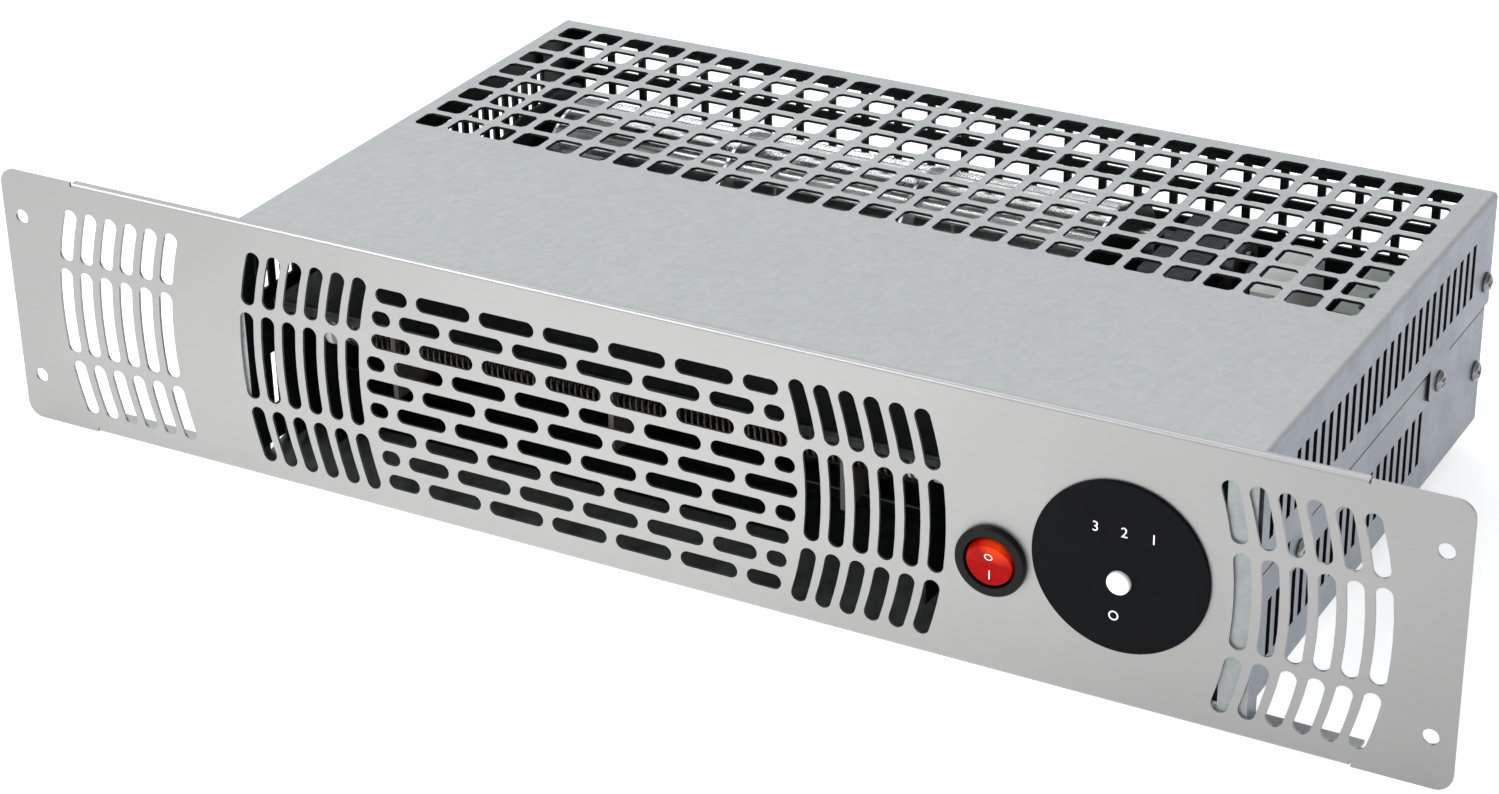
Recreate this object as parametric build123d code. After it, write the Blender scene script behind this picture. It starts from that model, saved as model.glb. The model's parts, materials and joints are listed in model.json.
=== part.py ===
from build123d import *
import math
import os

# Plinth heater: a flat stainless fascia with a sheet-steel fan heater behind it.
# Millimetres.  X runs along the fascia, Y goes back into the plinth, Z is up.
# The origin is the middle of the fascia's back face.

# ---- fascia ---------------------------------------------------------------
FASCIA_WIDTH = 550.0
FASCIA_HEIGHT = 100.0
FASCIA_SHEET = 1.0
FASCIA_CORNER_R = 6.0
FIXING_HOLE_D = 5.5
FIXING_INSET_X = 8.0        # hole centre from the fascia's end
FIXING_INSET_Z = 18.0       # hole centre from its top or bottom edge
RETURN_INSET = 33.0         # folded edges stop this far from the fascia's ends
RETURN_DEPTH = 14.0         # bottom return, behind the back face
LIP_DEPTH = 1.6             # top lip, behind the back face
FASCIA_BEND_R = 0.4         # inside radius of the fascia's sharp folds
BEND_R = 0.8                # inside radius of every other fold
RELIEF_WIDTH = 0.8          # notch beside each end of a fold

# ---- outlet grille in the fascia ------------------------------------------
GRILLE_X = -33.75
GRILLE_Z = -2.0
SLOT_LENGTH = 21.8
SLOT_HEIGHT = 5.7
SLOT_BAR = 3.6              # metal left between two slots of a row
ROW_PITCH = 9.0
ROW_REACH = (84.9, 84.1, 81.5, 80.5, 78.3)   # outer end of a row, from the middle row out
DOT_LENGTH = 7.6            # short hole that ends each even row
ARC_STROKE = 5.8
ARC_R = 130.0
ARC_PITCH = 9.0
ARC_COLUMNS = 6
ARC_BANDS = ((-43.0, -22.0), (-19.0, 15.0), (18.0, 39.0))   # lowest and highest point
INNER_ARC_REACH = 138.5     # outermost point of the arcs beside the grille, from its middle
END_ARC_INSET = 22.0        # fascia's end to the outermost point of the arcs there

# ---- controls -------------------------------------------------------------
ROCKER_X = 121.0
ROCKER_Z = -9.0
ROCKER_HOLE_D = 20.2
BEZEL_D = 24.6
BEZEL_DEPTH = 2.4
BEZEL_BORE_D = 18.2
SWITCH_BARREL_D = 20.0
SWITCH_DEPTH = 18.0         # barrel behind the fascia's front face
SWITCH_BACK = 6.0           # closed end of the barrel
BLADE_TAB = 6.3
BLADE_TAB_LENGTH = 9.0
PADDLE_D = 17.6
PADDLE_FRONT = 3.6          # crease of the paddle's face, in front of its pivot
PADDLE_BACK = 3.2
PADDLE_TILT = 8.0           # each way from the middle
PADDLE_PIN_D = 2.2
PADDLE_PIN_CLEARANCE = 0.1
PIVOT_Y = 0.6
DISC_X = 165.0
DISC_Z = 0.0
DISC_D = 60.0
DISC_SHEET = 1.2
BUTTON_Z = -5.0
BUTTON_D = 8.0
BUTTON_PROUD = 1.4          # in front of the disc
BUTTON_TRAVEL = 1.0
BUTTON_CLEARANCE = 0.3
BUTTON_FLANGE_D = 11.0
BUTTON_FLANGE = 1.0
BOARD_STANDOFF = 15.0
BOARD_SHEET = 1.6
BOARD_WIDTH = 58.0
BOARD_HEIGHT = 56.0
BOARD_SCREW_INSET = 4.5
BOARD_HOLE_D = 3.2
STANDOFF_R = 3.2
KEY_WIDTH = 6.0
KEY_BODY = 3.5              # body of the push switch on the board
KEY_STEM_D = 3.4
KEY_GAP = 0.3               # left between the pressed button and the key
BLADE_TAB_PITCH = 5.0
RELAY_SIZE = (16.0, 15.5, 19.0)
RELAY_X = (-13.0, 6.0)      # relay middles, from the disc's middle
RELAY_BOTTOM = 2.0
RELAY_EDGE_R = 0.8
CONNECTOR_X = (-20.0, 15.0)
CONNECTOR_Z = -17.5
CONNECTOR_SIZE = 10.0       # height and depth
CONNECTOR_WAYS = 6
CONNECTOR_PITCH = 5.8
CONNECTOR_FIRST = -17.0     # first way, from the disc's middle
CONNECTOR_HOLE_D = 3.6
CONNECTOR_HOLE_DEPTH = 5.0
BOARD_SCREW_HEAD_D = 5.6
BOARD_SCREW_HEAD = 1.8
BOARD_SCREW_D = 2.6
BOARD_SCREW_GRIP = 6.0      # thread inside the standoff
STANDOFF_BORE = 8.0
STANDOFF_BORE_D = 2.8
DISC_EDGE = 0.3
BUTTON_EDGE_R = 0.8
BUTTON_FLANGE_Y = 0.3       # front of the button's flange, behind the fascia's back face

# ---- casing ---------------------------------------------------------------
BODY_LEFT = -172.5
BODY_RIGHT = 209.5
BODY_DEPTH = 220.0
BODY_TOP = FASCIA_HEIGHT / 2 - FASCIA_SHEET
BODY_HEIGHT = 90.0
BODY_BOTTOM = BODY_TOP - BODY_HEIGHT
SHEET = 1.0
COVER_FRONT = 1.0           # cover's front edge, behind the ears and the lip's bend
COVER_SIDE = 42.0           # height of the cover's side flange
COVER_GAP = 0.2             # cover flange to the tray's side wall
TRAY_SIDE_TOP = BODY_TOP - 35.0    # upper edge of the tray's side wall
TAB_DROP = 13.0             # screw tab below the cover's side flange
TAB_WIDTH = 19.0
TAB_CORNER_R = 3.0
TAB_Y = (36.0, BODY_DEPTH - 52.0)
TAB_SCREW_Z = BODY_TOP - COVER_SIDE - 8.0
EAR_WIDTH = 10.0            # tray's front ears, spot-welded to the fascia
EAR_BOTTOM = 2.0 - FASCIA_HEIGHT / 2
EAR_TOP = FASCIA_HEIGHT / 2 - 6.0
EAR_RIB = 8.0               # the side wall's own strip behind the ear
APRON_DEPTH = 26.0          # cut-out in the tray's floor behind the outlet
APRON_FRONT_Z = 3.0 - FASCIA_HEIGHT / 2
APRON_LIP = 3.6             # upright lip on the fascia's back face
APRON_SEAT = 5.0            # strip that lies on the tray's floor
APRON_SLIT_Y = 15.0         # its left end clears the tray's bend from here back
APRON_RIGHT = 108.0

# ---- intake grilles -------------------------------------------------------
HOLE = 11.0
HOLE_CHAMFER = 1.5
HOLE_PITCH = 14.2
TOP_COLUMNS = 26
TOP_ROWS = 8
TOP_LEFT_MARGIN = 12.0
TOP_REAR_MARGIN = 12.0
REAR_COLUMNS = 26
REAR_ROW_DEPTHS = (12.1, 26.3)     # hole centres below the cover's top face
REAR_PITCH = 14.14
LOUVRE_PITCH = 7.0
LOUVRE_WIDTH = 3.4
LOUVRE_CUT = 4.0            # how far a louvre's cutter reaches inwards
LOUVRE_FRONT = 8.0          # least room from the front edge to the first slot's centre
UPPER_LOUVRE_BAND = (11.5, 32.0)   # below the cover's top face
UPPER_LOUVRE_REAR = 22.0           # last slot's centre from the rear edge
LOWER_LOUVRE_BAND = (56.5, 77.0)
LOWER_LOUVRE_REAR = 65.5
REAR_RETURN = 22.0                 # rear panel's side return
REAR_NOTCH = 1.0                   # clears the tray's bend

# ---- cross-flow fan -------------------------------------------------------
FAN_Y = BODY_DEPTH - 45.0
FAN_Z = BODY_BOTTOM + 47.0
FAN_R = 30.0
FAN_LEFT = -140.0
FAN_SEGMENT = 75.5
FAN_SEGMENTS = 3
FAN_DISC = 1.2
BLADES = 24
BLADE_SHEET = 0.9
BLADE_CHORD = 8.5           # radial depth of a blade
BLADE_LEAN = 35.0
BLADE_CAMBER = 3.0          # degrees that the blade's middle runs ahead
BLADE_INSET = 0.5           # blade tips inside the discs' edge
SHAFT_D = 6.0
SHAFT_CLEARANCE = 0.05
PLATE_GAP = 5.0             # fan disc to end plate
PLATE_SHEET = 1.2
PLATE_FRONT = 62.0
PLATE_REAR = BODY_DEPTH - 11.0
PLATE_TOP = BODY_TOP - 9.0
PLATE_FOOT = 12.0
BEARING_D = 12.0
BEARING_LENGTH = 8.0
SHAFT_OVERHANG = 2.0
RUBBER_D = 22.0
RUBBER_NECK_D = 17.0
RUBBER_LIP = 2.4
HUB_D = 16.0
HUB_LENGTH = 10.0
GUIDE_SHEET = 0.8
SCROLL_GAP = 3.0            # scroll to blade tips, where the scroll starts
SCROLL_START = -12.0        # degrees, just below the rear
TONGUE_GAP = 3.5
TONGUE_ANGLE = 2.0          # below the axis, at the front
TONGUE_LENGTH = 14.0
ROOF_Z = BODY_BOTTOM + 58.0        # underside of the duct's roof
ROOF_FRONT = 8.0
ROOF_HEM = 3.0
ROOF_SPAN = (BODY_LEFT + 9.5, 108.0)
SIDE_CLEAR = 1.0            # duct's left side to the tray's floor
FOOT_SCREW_Y = (85.0, FAN_Y + 10.0)
FOOT_SCREW_OUT = 7.4        # foot screw's middle, from the plate's inner face
FOOT_SCREW_D = 3.2
FOOT_SCREW_HEAD_D = 6.0
FOOT_SCREW_HEAD = 1.8
PLATE_TOP_AHEAD = 30.0      # flat top of the plate, in front of the axis
PLATE_TOP_BEHIND = 10.0
PLATE_CORNER_R = 6.0
PLATE_FOOT_INSET = 8.0
HUB_WINDOW = 4.0            # motor plate's hole round the hub
TONGUE_KNEE = 30.0
TONGUE_BEND_R = 6.0

# ---- fan motor ------------------------------------------------------------
STATOR_WIDTH = 50.0
STATOR_BEHIND = 21.0        # stator's rear face behind the axis
STATOR_STACK = 20.0
LEG = 10.0
CORE = 8.0
CORE_REACH = 34.0           # winding's core, in front of the axis
WINDOW_REACH = 20.0
WINDING_PLAY = 0.3
ROTOR_D = 28.0
ROTOR_GAP = 0.4
ROTOR_LENGTH = 22.0
COIL_OVERHANG = 5.0
MOTOR_OFFSET = 8.0          # end plate to the near bracket
MOTOR_BRACKET = 4.0
BRACKET_WIDTH = 24.0
BRACKET_FOOT = 3.0
MOTOR_BUSH_D = 12.0
MOTOR_SCREW_D = 3.4
MOTOR_SCREW_INSET = 4.5
COOLING_FAN_D = 40.0
COOLING_FAN_LENGTH = 8.0
COOLING_FAN_GAP = 3.0
COOLING_VANES = 9
COOLING_DISC = 1.5
COOLING_HUB_D = 11.0
COOLING_VANE = 1.2
STATOR_CORNER_R = 2.0
COIL_EDGE_R = 5.0
COIL_CHEEK = 1.5            # bobbin's end flange
COIL_CHEEK_OUT = 1.0
BRACKET_CORNER_R = 5.0
BRACKET_BOSS_D = 9.0
BUSH_BOSS = 2.5             # metal round the bush
BUSH_BOSS_OUT = 0.8
MOTOR_SCREW_HEAD_D = 6.0
MOTOR_SCREW_HEAD = 2.2
SPACER_D = 7.4
ROTOR_RING_D = 23.0
ROTOR_RING = 1.2
SHAFT_CHAMFER = 0.5

# ---- heating element ------------------------------------------------------
ELEMENT_Y = (18.0, 34.0, 50.0)
ELEMENT_Z = (BODY_BOTTOM + 47.0, BODY_BOTTOM + 41.0, BODY_BOTTOM + 35.0)
ELEMENT_COIL_D = 9.0
ELEMENT_WIRE_D = 0.9
COIL_PLAY = 0.2
FRAME_RAIL = 12.0
FRAME_SHEET = 0.8
FRAME_FRONT = 10.0
RAIL_Y = 24.0
RAIL_Z = BODY_BOTTOM + 29.0        # upper face of the rails
MICA_SHEET = 2.0
MICA_FRONT = 11.0
MICA_DEPTH = 46.0
MICA_X = (-115.0, -26.75, 61.5)
INSULATOR_COLLAR = 2.5
INSULATOR_COLLAR_D = 11.0
INSULATOR_SPIGOT = 6.0
INSULATOR_NECK_D = 6.0
INSULATOR_NECK = 4.0
STUD_D = 3.0
CUTOUT_D = 15.0
CUTOUT_LENGTH = 8.0
CUTOUT_Y = 44.0
CUTOUT_Z = BODY_BOTTOM + 21.0
CUTOUT_FLANGE = (24.0, 8.0)
CUTOUT_TAB_Z = 3.5
ELEMENT_TAB = (8.0, 6.4)    # length and width of every push-on tab
TAB_SHEET = 0.8
RAIL_STEP = 16.0
LINK_END = 3.2              # link bar past its outer studs
LINK_NUT_R = 2.7
LINK_NUT = 1.6
LINK_STUD = 2.4             # stud past the link bar's inner face

# ---- small hardware -------------------------------------------------------
SCREW_D = 4.0
SCREW_HEAD_D = 7.5
SCREW_HEAD = 2.2
SCREW_LENGTH = 8.0
SCREW_HOLE_PLAY = 0.5
REAR_SCREW_INSET = 6.0
REAR_SCREW_DEPTHS = (32.0, 67.0)
FLOOR_SCREW_HOLE_D = 3.4

# ---- mains side -----------------------------------------------------------
GLAND_X = 178.0
GLAND_Z = BODY_BOTTOM + 21.0
GLAND_THREAD = 16.0
GLAND_BORE = 8.0
GLAND_HEX_R = 12.5
GLAND_CAP = 14.0
FILTER_X = BODY_RIGHT - 49.5
FILTER_Y = BODY_DEPTH - 71.0
FILTER_WIDTH = 12.0
FILTER_DEPTH = 42.0
FILTER_HEIGHT = 78.0
TERMINAL_X = BODY_RIGHT - 20.0
TERMINAL_Y = BODY_DEPTH - 60.0
TERMINAL_WIDTH = 20.0
TERMINAL_DEPTH = 44.0
TERMINAL_PLINTH = 46.0
TERMINAL_HEIGHT = 26.0
TERMINAL_WAYS = 4
TERMINAL_PITCH = 10.0
TERMINAL_CHAMBER_Z = 11.7   # above the block's plinth
TERMINAL_CHAMBER = 7.0      # depth of a wire chamber
TERMINAL_WELL_D = 5.0
TERMINAL_EDGE_R = 2.0
FILTER_EDGE_R = 1.5
FILTER_LUG = (9.0, 2.5)     # length and height of its screw lug
FILTER_LUG_R = 4.0
FILTER_LUG_HOLE = 4.8
GLAND_FLANGE = 5.0
GLAND_NUT = 4.5
GLAND_INSIDE = 7.0
GLAND_CAP_D = 21.5
GLAND_CAP_R = 3.0
EARTH_X = BODY_RIGHT - 35.0
EARTH_Y = BODY_DEPTH - 125.0
EARTH_D = 4.0
EARTH_LENGTH = 16.0
EARTH_NUT_R = 4.0
EARTH_NUT = 3.2
EARTH_NUT_STEP = 6.0
WIRE_D = 2.4
WIRE_BEND = 5.0
MAINS_LANES = ((FILTER_X + 14.0, BODY_BOTTOM + 49.0), (FILTER_X + 9.0, BODY_BOTTOM + 53.0))   # X and Z
MAINS_LANE_FRONT = BODY_DEPTH - 110.0
MOTOR_LEAD_RISE = 12.0      # straight run up from the winding
LEAD_DROPS = (70.0, 60.0, 38.0, 40.0)   # Y where motor, mains, switch and heater leads drop to the board
SWITCH_LEAD_RUN = 10.0      # straight run behind the switch's blades
SWITCH_LEAD_Y = 44.0
LEAD_ABOVE_FLOOR = 6.0
CUTOUT_LEAD_RUN = 8.0
HEATER_LEAD_RUN = 9.0
HEATER_LEAD = (140.0, 50.0, ROCKER_Z + 5.0)   # point between the element and the board

# ---- worked out from the sizes above --------------------------------------
FASCIA_TOP = FASCIA_HEIGHT / 2
FASCIA_BOTTOM = -FASCIA_HEIGHT / 2
FIXING_X = FASCIA_WIDTH / 2 - FIXING_INSET_X
FIXING_Z = FASCIA_HEIGHT / 2 - FIXING_INSET_Z
BODY_X = (BODY_RIGHT + BODY_LEFT) / 2
COVER_FLANGE_BOTTOM = BODY_TOP - COVER_SIDE
TRAY_LEFT = BODY_LEFT + SHEET + COVER_GAP
TRAY_RIGHT = BODY_RIGHT - SHEET - COVER_GAP
FLOOR = BODY_BOTTOM + SHEET
FAN_LENGTH = FAN_SEGMENT * FAN_SEGMENTS
FAN_RIGHT = FAN_LEFT + FAN_LENGTH
LEFT_PLATE = FAN_LEFT - PLATE_GAP
RIGHT_PLATE = FAN_RIGHT + PLATE_GAP
FRONT_FACE = -FASCIA_SHEET
BEARING_LEFT = LEFT_PLATE - PLATE_SHEET / 2 - BEARING_LENGTH / 2
SCROLL_BOTTOM_R = FAN_Z - FLOOR - GUIDE_SHEET
NEAR_BRACKET = RIGHT_PLATE + PLATE_SHEET + MOTOR_OFFSET
STATOR_X = NEAR_BRACKET + MOTOR_BRACKET + BRACKET_FOOT
FAR_BRACKET = STATOR_X + STATOR_STACK + BRACKET_FOOT
COOLING_FAN_X = FAR_BRACKET + MOTOR_BRACKET + COOLING_FAN_GAP
BOARD_BACK = BOARD_STANDOFF + BOARD_SHEET
SWITCH_END = FRONT_FACE + SWITCH_DEPTH
TERMINAL_BASE = FLOOR + TERMINAL_PLINTH


def box(x0, x1, y0, y1, z0, z1):
    """A block between two corners."""
    size = (abs(x1 - x0), abs(y1 - y0), abs(z1 - z0))
    return Pos((x0 + x1) / 2, (y0 + y1) / 2, (z0 + z1) / 2) * Box(*size)


def rod_x(diameter, x0, x1, y, z):
    """A cylinder along X."""
    return Pos((x0 + x1) / 2, y, z) * Rot(0, 90, 0) * Cylinder(diameter / 2, abs(x1 - x0))


def rod_y(diameter, y0, y1, x, z):
    """A cylinder along Y."""
    return Pos(x, (y0 + y1) / 2, z) * Rot(90, 0, 0) * Cylinder(diameter / 2, abs(y1 - y0))


def rod_z(diameter, z0, z1, x, y):
    """An upright cylinder."""
    return Pos(x, y, (z0 + z1) / 2) * Cylinder(diameter / 2, abs(z1 - z0))


def save(name, shape):
    """Write one sub-part under its node's name."""
    export_step(shape, os.path.join("parts", name + ".step"))


def folded(points, thickness, radius=BEND_R):
    """Section of a folded sheet on the left of an open line, with true bend radii."""
    line = [Vector(*point) for point in points]
    runs = [(b - a).normalized() for a, b in zip(line, line[1:])]
    normals = [Vector(-run.Y, run.X) for run in runs]
    other = [line[0] + normals[0] * thickness]
    line_radii, other_radii = [], []
    for corner, before, after, run_a, run_b in zip(line[1:-1], normals, normals[1:], runs, runs[1:]):
        other.append(corner + (before + after) * (thickness / (1 + before.dot(after))))
        left_turn = run_a.X * run_b.Y - run_a.Y * run_b.X > 0
        line_radii.append(radius + thickness if left_turn else radius)
        other_radii.append(radius if left_turn else radius + thickness)
    other.append(line[-1] + normals[-1] * thickness)
    if line_radii:
        near = FilletPolyline(*line, radius=line_radii)
        far = FilletPolyline(*other, radius=other_radii)
    else:
        near, far = Polyline(*line), Polyline(*other)
    return make_face([*near.edges(), *far.edges(), Line(line[0], other[0]), Line(line[-1], other[-1])])


def along_x(section, x0, x1):
    """Extrude a section drawn in Y and Z from one X to another."""
    return extrude(Plane.YZ.offset(x0) * section, amount=x1 - x0, dir=(1, 0, 0))


def along_y(section, y0, y1):
    """Extrude a section drawn in X and Z from one Y to another."""
    return extrude(Plane.XZ.offset(-y0) * section, amount=y1 - y0, dir=(0, 1, 0))


def at(section, x, y):
    """Move a flat section."""
    return Pos(x, y) * section


# ---- fascia ---------------------------------------------------------------

def row_slots(row):
    """Slots of one row of the outlet grille; rows count up and down from the middle one."""
    z = GRILLE_Z + row * ROW_PITCH
    pitch = SLOT_LENGTH + SLOT_BAR
    even = row % 2
    full = (-1.5, -0.5, 0.5, 1.5) if even else (-2, -1, 0, 1, 2)
    slots = [at(SlotOverall(SLOT_LENGTH, SLOT_HEIGHT), GRILLE_X + place * pitch, z) for place in full]
    reach = ROW_REACH[abs(row)]
    inner = (full[-1] + 0.5) * pitch + SLOT_BAR / 2
    outer = reach - DOT_LENGTH - SLOT_BAR if even else reach
    for side in (-1, 1):
        middle = GRILLE_X + side * (inner + outer) / 2
        slots.append(at(SlotOverall(outer - inner, SLOT_HEIGHT), middle, z))
        if even:
            dot = GRILLE_X + side * (reach - DOT_LENGTH / 2)
            slots.append(at(SlotOverall(DOT_LENGTH, SLOT_HEIGHT), dot, z))
    return slots


def arc_slot(extreme, bulge, low, high):
    """One tall slot on an arc; bulge is -1 where the arc bows to the left, 1 to the right."""
    cap = ARC_STROKE / 2
    centre = extreme - bulge * (cap + ARC_R)
    angles = [math.asin((z - GRILLE_Z) / ARC_R) for z in (low + cap, (low + high) / 2, high - cap)]
    curves = []
    for radius in (ARC_R - cap, ARC_R + cap):
        ends = [(centre + bulge * radius * math.cos(a), GRILLE_Z + radius * math.sin(a)) for a in angles]
        curves.append(ThreePointArc(*ends))
    caps = []
    for angle, outward in ((angles[0], -1), (angles[2], 1)):
        start, end = [(centre + bulge * r * math.cos(angle), GRILLE_Z + r * math.sin(angle))
                      for r in (ARC_R - cap, ARC_R + cap)]
        tip = (centre + bulge * ARC_R * math.cos(angle) - bulge * outward * cap * math.sin(angle),
               GRILLE_Z + ARC_R * math.sin(angle) + outward * cap * math.cos(angle))
        caps.append(ThreePointArc(start, tip, end))
    return make_face([*curves, *caps])


def arc_slots():
    """The four groups of arcs: two beside the grille and one at each end of the fascia."""
    slots = []
    for middle, reach in ((GRILLE_X, INNER_ARC_REACH), (0.0, FASCIA_WIDTH / 2 - END_ARC_INSET)):
        for side in (-1, 1):
            for column in range(ARC_COLUMNS):
                extreme = middle + side * (reach - column * ARC_PITCH)
                slots += [arc_slot(extreme, side, low, high) for low, high in ARC_BANDS]
    return slots


def fascia_panel():
    outline = RectangleRounded(FASCIA_WIDTH, FASCIA_HEIGHT, FASCIA_CORNER_R).face().outer_wire()
    holes = [slot for row in range(-4, 5) for slot in row_slots(row)] + arc_slots()
    holes += [at(Circle(FIXING_HOLE_D / 2), x, z) for x in (-FIXING_X, FIXING_X)
              for z in (-FIXING_Z, FIXING_Z)]
    holes.append(at(Circle(ROCKER_HOLE_D / 2), ROCKER_X, ROCKER_Z))
    holes.append(at(Circle(BUTTON_D / 2 + BUTTON_CLEARANCE), DISC_X, BUTTON_Z))
    sheet = Face(outline, [hole.face().outer_wire() for hole in holes])
    panel = extrude(Plane.XZ * sheet, amount=FASCIA_SHEET)
    half = FASCIA_WIDTH / 2 - RETURN_INSET
    bend = FASCIA_SHEET + 1.5 * FASCIA_BEND_R
    for edge, depth in ((FASCIA_BOTTOM, RETURN_DEPTH), (FASCIA_TOP, LIP_DEPTH)):
        inward = 1 if edge < 0 else -1
        notch = half + RELIEF_WIDTH
        panel -= box(-notch, notch, FRONT_FACE, 0, edge, edge + inward * bend)
        line = [(FRONT_FACE, edge + inward * bend), (FRONT_FACE, edge), (depth, edge)]
        if inward < 0:
            line.reverse()
        panel += along_x(folded(line, FASCIA_SHEET, FASCIA_BEND_R), -half, half)
    return panel


# ---- controls -------------------------------------------------------------

def switch_body():
    """Round switch body: a collar on the fascia, a barrel through it and a closed back."""
    back = SWITCH_END
    collar = rod_y(BEZEL_D, FRONT_FACE - BEZEL_DEPTH, FRONT_FACE, ROCKER_X, ROCKER_Z)
    collar = fillet(collar.faces().sort_by(Axis.Y)[0].edges(), BEZEL_DEPTH / 3)
    body = collar + rod_y(SWITCH_BARREL_D, FRONT_FACE, back, ROCKER_X, ROCKER_Z)
    body -= rod_y(BEZEL_BORE_D, FRONT_FACE - BEZEL_DEPTH, back - SWITCH_BACK, ROCKER_X, ROCKER_Z)
    socket = PADDLE_PIN_D + 2 * PADDLE_PIN_CLEARANCE
    half = SWITCH_BARREL_D / 2
    return body - rod_x(socket, ROCKER_X - half, ROCKER_X + half, PIVOT_Y, ROCKER_Z)


def rocker_paddle():
    """Red paddle: a slice of a ball on two trunnions, its face creased over the pivot."""
    wide = PADDLE_D
    rise = wide * math.tan(math.radians(PADDLE_TILT))
    face, back = PIVOT_Y - PADDLE_FRONT, PIVOT_Y + PADDLE_BACK
    section = make_face(Polyline(
        (back, ROCKER_Z - wide), (face - rise, ROCKER_Z - wide), (face, ROCKER_Z),
        (face - rise, ROCKER_Z + wide), (back, ROCKER_Z + wide), close=True))
    pivot = (ROCKER_X, PIVOT_Y, ROCKER_Z)
    slice_of_ball = along_x(section, ROCKER_X - wide, ROCKER_X + wide) & Pos(*pivot) * Sphere(PADDLE_D / 2)
    pin = SWITCH_BARREL_D / 2 - PADDLE_PIN_CLEARANCE
    trunnions = rod_x(PADDLE_PIN_D, ROCKER_X - pin, ROCKER_X + pin, PIVOT_Y, ROCKER_Z)
    return (slice_of_ball.solid() + trunnions).rotate(Axis(pivot, (1, 0, 0)), PADDLE_TILT)


def switch_blades():
    """Flat terminals out of the back of the switch."""
    half = BLADE_TAB / 2
    blades = [box(ROCKER_X - half, ROCKER_X + half, SWITCH_END, SWITCH_END + BLADE_TAB_LENGTH,
                  z - TAB_SHEET / 2, z + TAB_SHEET / 2)
              for z in (ROCKER_Z - BLADE_TAB_PITCH, ROCKER_Z, ROCKER_Z + BLADE_TAB_PITCH)]
    return Compound(children=blades)


def control_disc():
    """Round black label plate stuck on the fascia, with a hole for the button."""
    disc = rod_y(DISC_D, FRONT_FACE - DISC_SHEET, FRONT_FACE, DISC_X, DISC_Z)
    disc = chamfer(disc.faces().sort_by(Axis.Y)[0].edges(), DISC_EDGE)
    hole = BUTTON_D + 2 * BUTTON_CLEARANCE
    return disc - rod_y(hole, FRONT_FACE - DISC_SHEET, FRONT_FACE, DISC_X, BUTTON_Z)


def speed_button():
    """White push button with a flange behind the fascia that keeps it in."""
    front = FRONT_FACE - DISC_SHEET - BUTTON_PROUD
    cap = rod_y(BUTTON_D, front, BUTTON_FLANGE_Y, DISC_X, BUTTON_Z)
    cap = fillet(cap.faces().sort_by(Axis.Y)[0].edges(), BUTTON_EDGE_R)
    flange = rod_y(BUTTON_FLANGE_D, BUTTON_FLANGE_Y, BUTTON_FLANGE_Y + BUTTON_FLANGE, DISC_X, BUTTON_Z)
    stem_end = BOARD_STANDOFF - KEY_BODY - BUTTON_TRAVEL - KEY_GAP
    stem = rod_y(KEY_STEM_D, BUTTON_FLANGE_Y + BUTTON_FLANGE, stem_end, DISC_X, BUTTON_Z)
    return cap + flange + stem


def tactile_key():
    """Small push switch on the control board, straight behind the button."""
    half = KEY_WIDTH / 2
    return box(DISC_X - half, DISC_X + half, BOARD_STANDOFF - KEY_BODY, BOARD_STANDOFF,
               BUTTON_Z - half, BUTTON_Z + half)


def board_corners():
    """Screw places of the control board."""
    dx = BOARD_WIDTH / 2 - BOARD_SCREW_INSET
    dz = BOARD_HEIGHT / 2 - BOARD_SCREW_INSET
    return [(DISC_X + sx * dx, DISC_Z + sz * dz) for sx in (-1, 1) for sz in (-1, 1)]


def control_board():
    board = box(DISC_X - BOARD_WIDTH / 2, DISC_X + BOARD_WIDTH / 2, BOARD_STANDOFF, BOARD_BACK,
                DISC_Z - BOARD_HEIGHT / 2, DISC_Z + BOARD_HEIGHT / 2)
    for x, z in board_corners():
        board -= rod_y(BOARD_HOLE_D, BOARD_STANDOFF, BOARD_BACK, x, z)
    return board


def board_standoffs():
    """Hexagonal pillars welded to the fascia's back, which carry the control board."""
    pillars = []
    for x, z in board_corners():
        section = at(RegularPolygon(STANDOFF_R, 6), x, z)
        pillar = along_y(section, 0, BOARD_STANDOFF)
        pillars.append(pillar - rod_y(STANDOFF_BORE_D, BOARD_STANDOFF - STANDOFF_BORE, BOARD_STANDOFF, x, z))
    return Compound(children=pillars)


def board_screws():
    screws = []
    for x, z in board_corners():
        head = rod_y(BOARD_SCREW_HEAD_D, BOARD_BACK, BOARD_BACK + BOARD_SCREW_HEAD, x, z)
        screws.append(head + rod_y(BOARD_SCREW_D, BOARD_STANDOFF - BOARD_SCREW_GRIP, BOARD_BACK, x, z))
    return Compound(children=screws)


def board_relays():
    """Two relays on the back of the board."""
    width, depth, height = RELAY_SIZE
    relays = []
    for place in RELAY_X:
        x = DISC_X + place
        relay = box(x - width / 2, x + width / 2, BOARD_BACK, BOARD_BACK + depth, RELAY_BOTTOM,
                    RELAY_BOTTOM + height)
        relays.append(fillet(relay.edges().filter_by(Axis.Y), RELAY_EDGE_R))
    return Compound(children=relays)


def connector_way(place):
    """X of one way of the board's connector."""
    return DISC_X + CONNECTOR_FIRST + place * CONNECTOR_PITCH


def board_connector():
    """Row of screw terminals along the board's lower edge."""
    end = BOARD_BACK + CONNECTOR_SIZE
    block = box(DISC_X + CONNECTOR_X[0], DISC_X + CONNECTOR_X[1], BOARD_BACK, end,
                CONNECTOR_Z - CONNECTOR_SIZE / 2, CONNECTOR_Z + CONNECTOR_SIZE / 2)
    for place in range(CONNECTOR_WAYS):
        block -= rod_y(CONNECTOR_HOLE_D, end - CONNECTOR_HOLE_DEPTH, end, connector_way(place), CONNECTOR_Z)
    return block


# ---- casing ---------------------------------------------------------------

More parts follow.
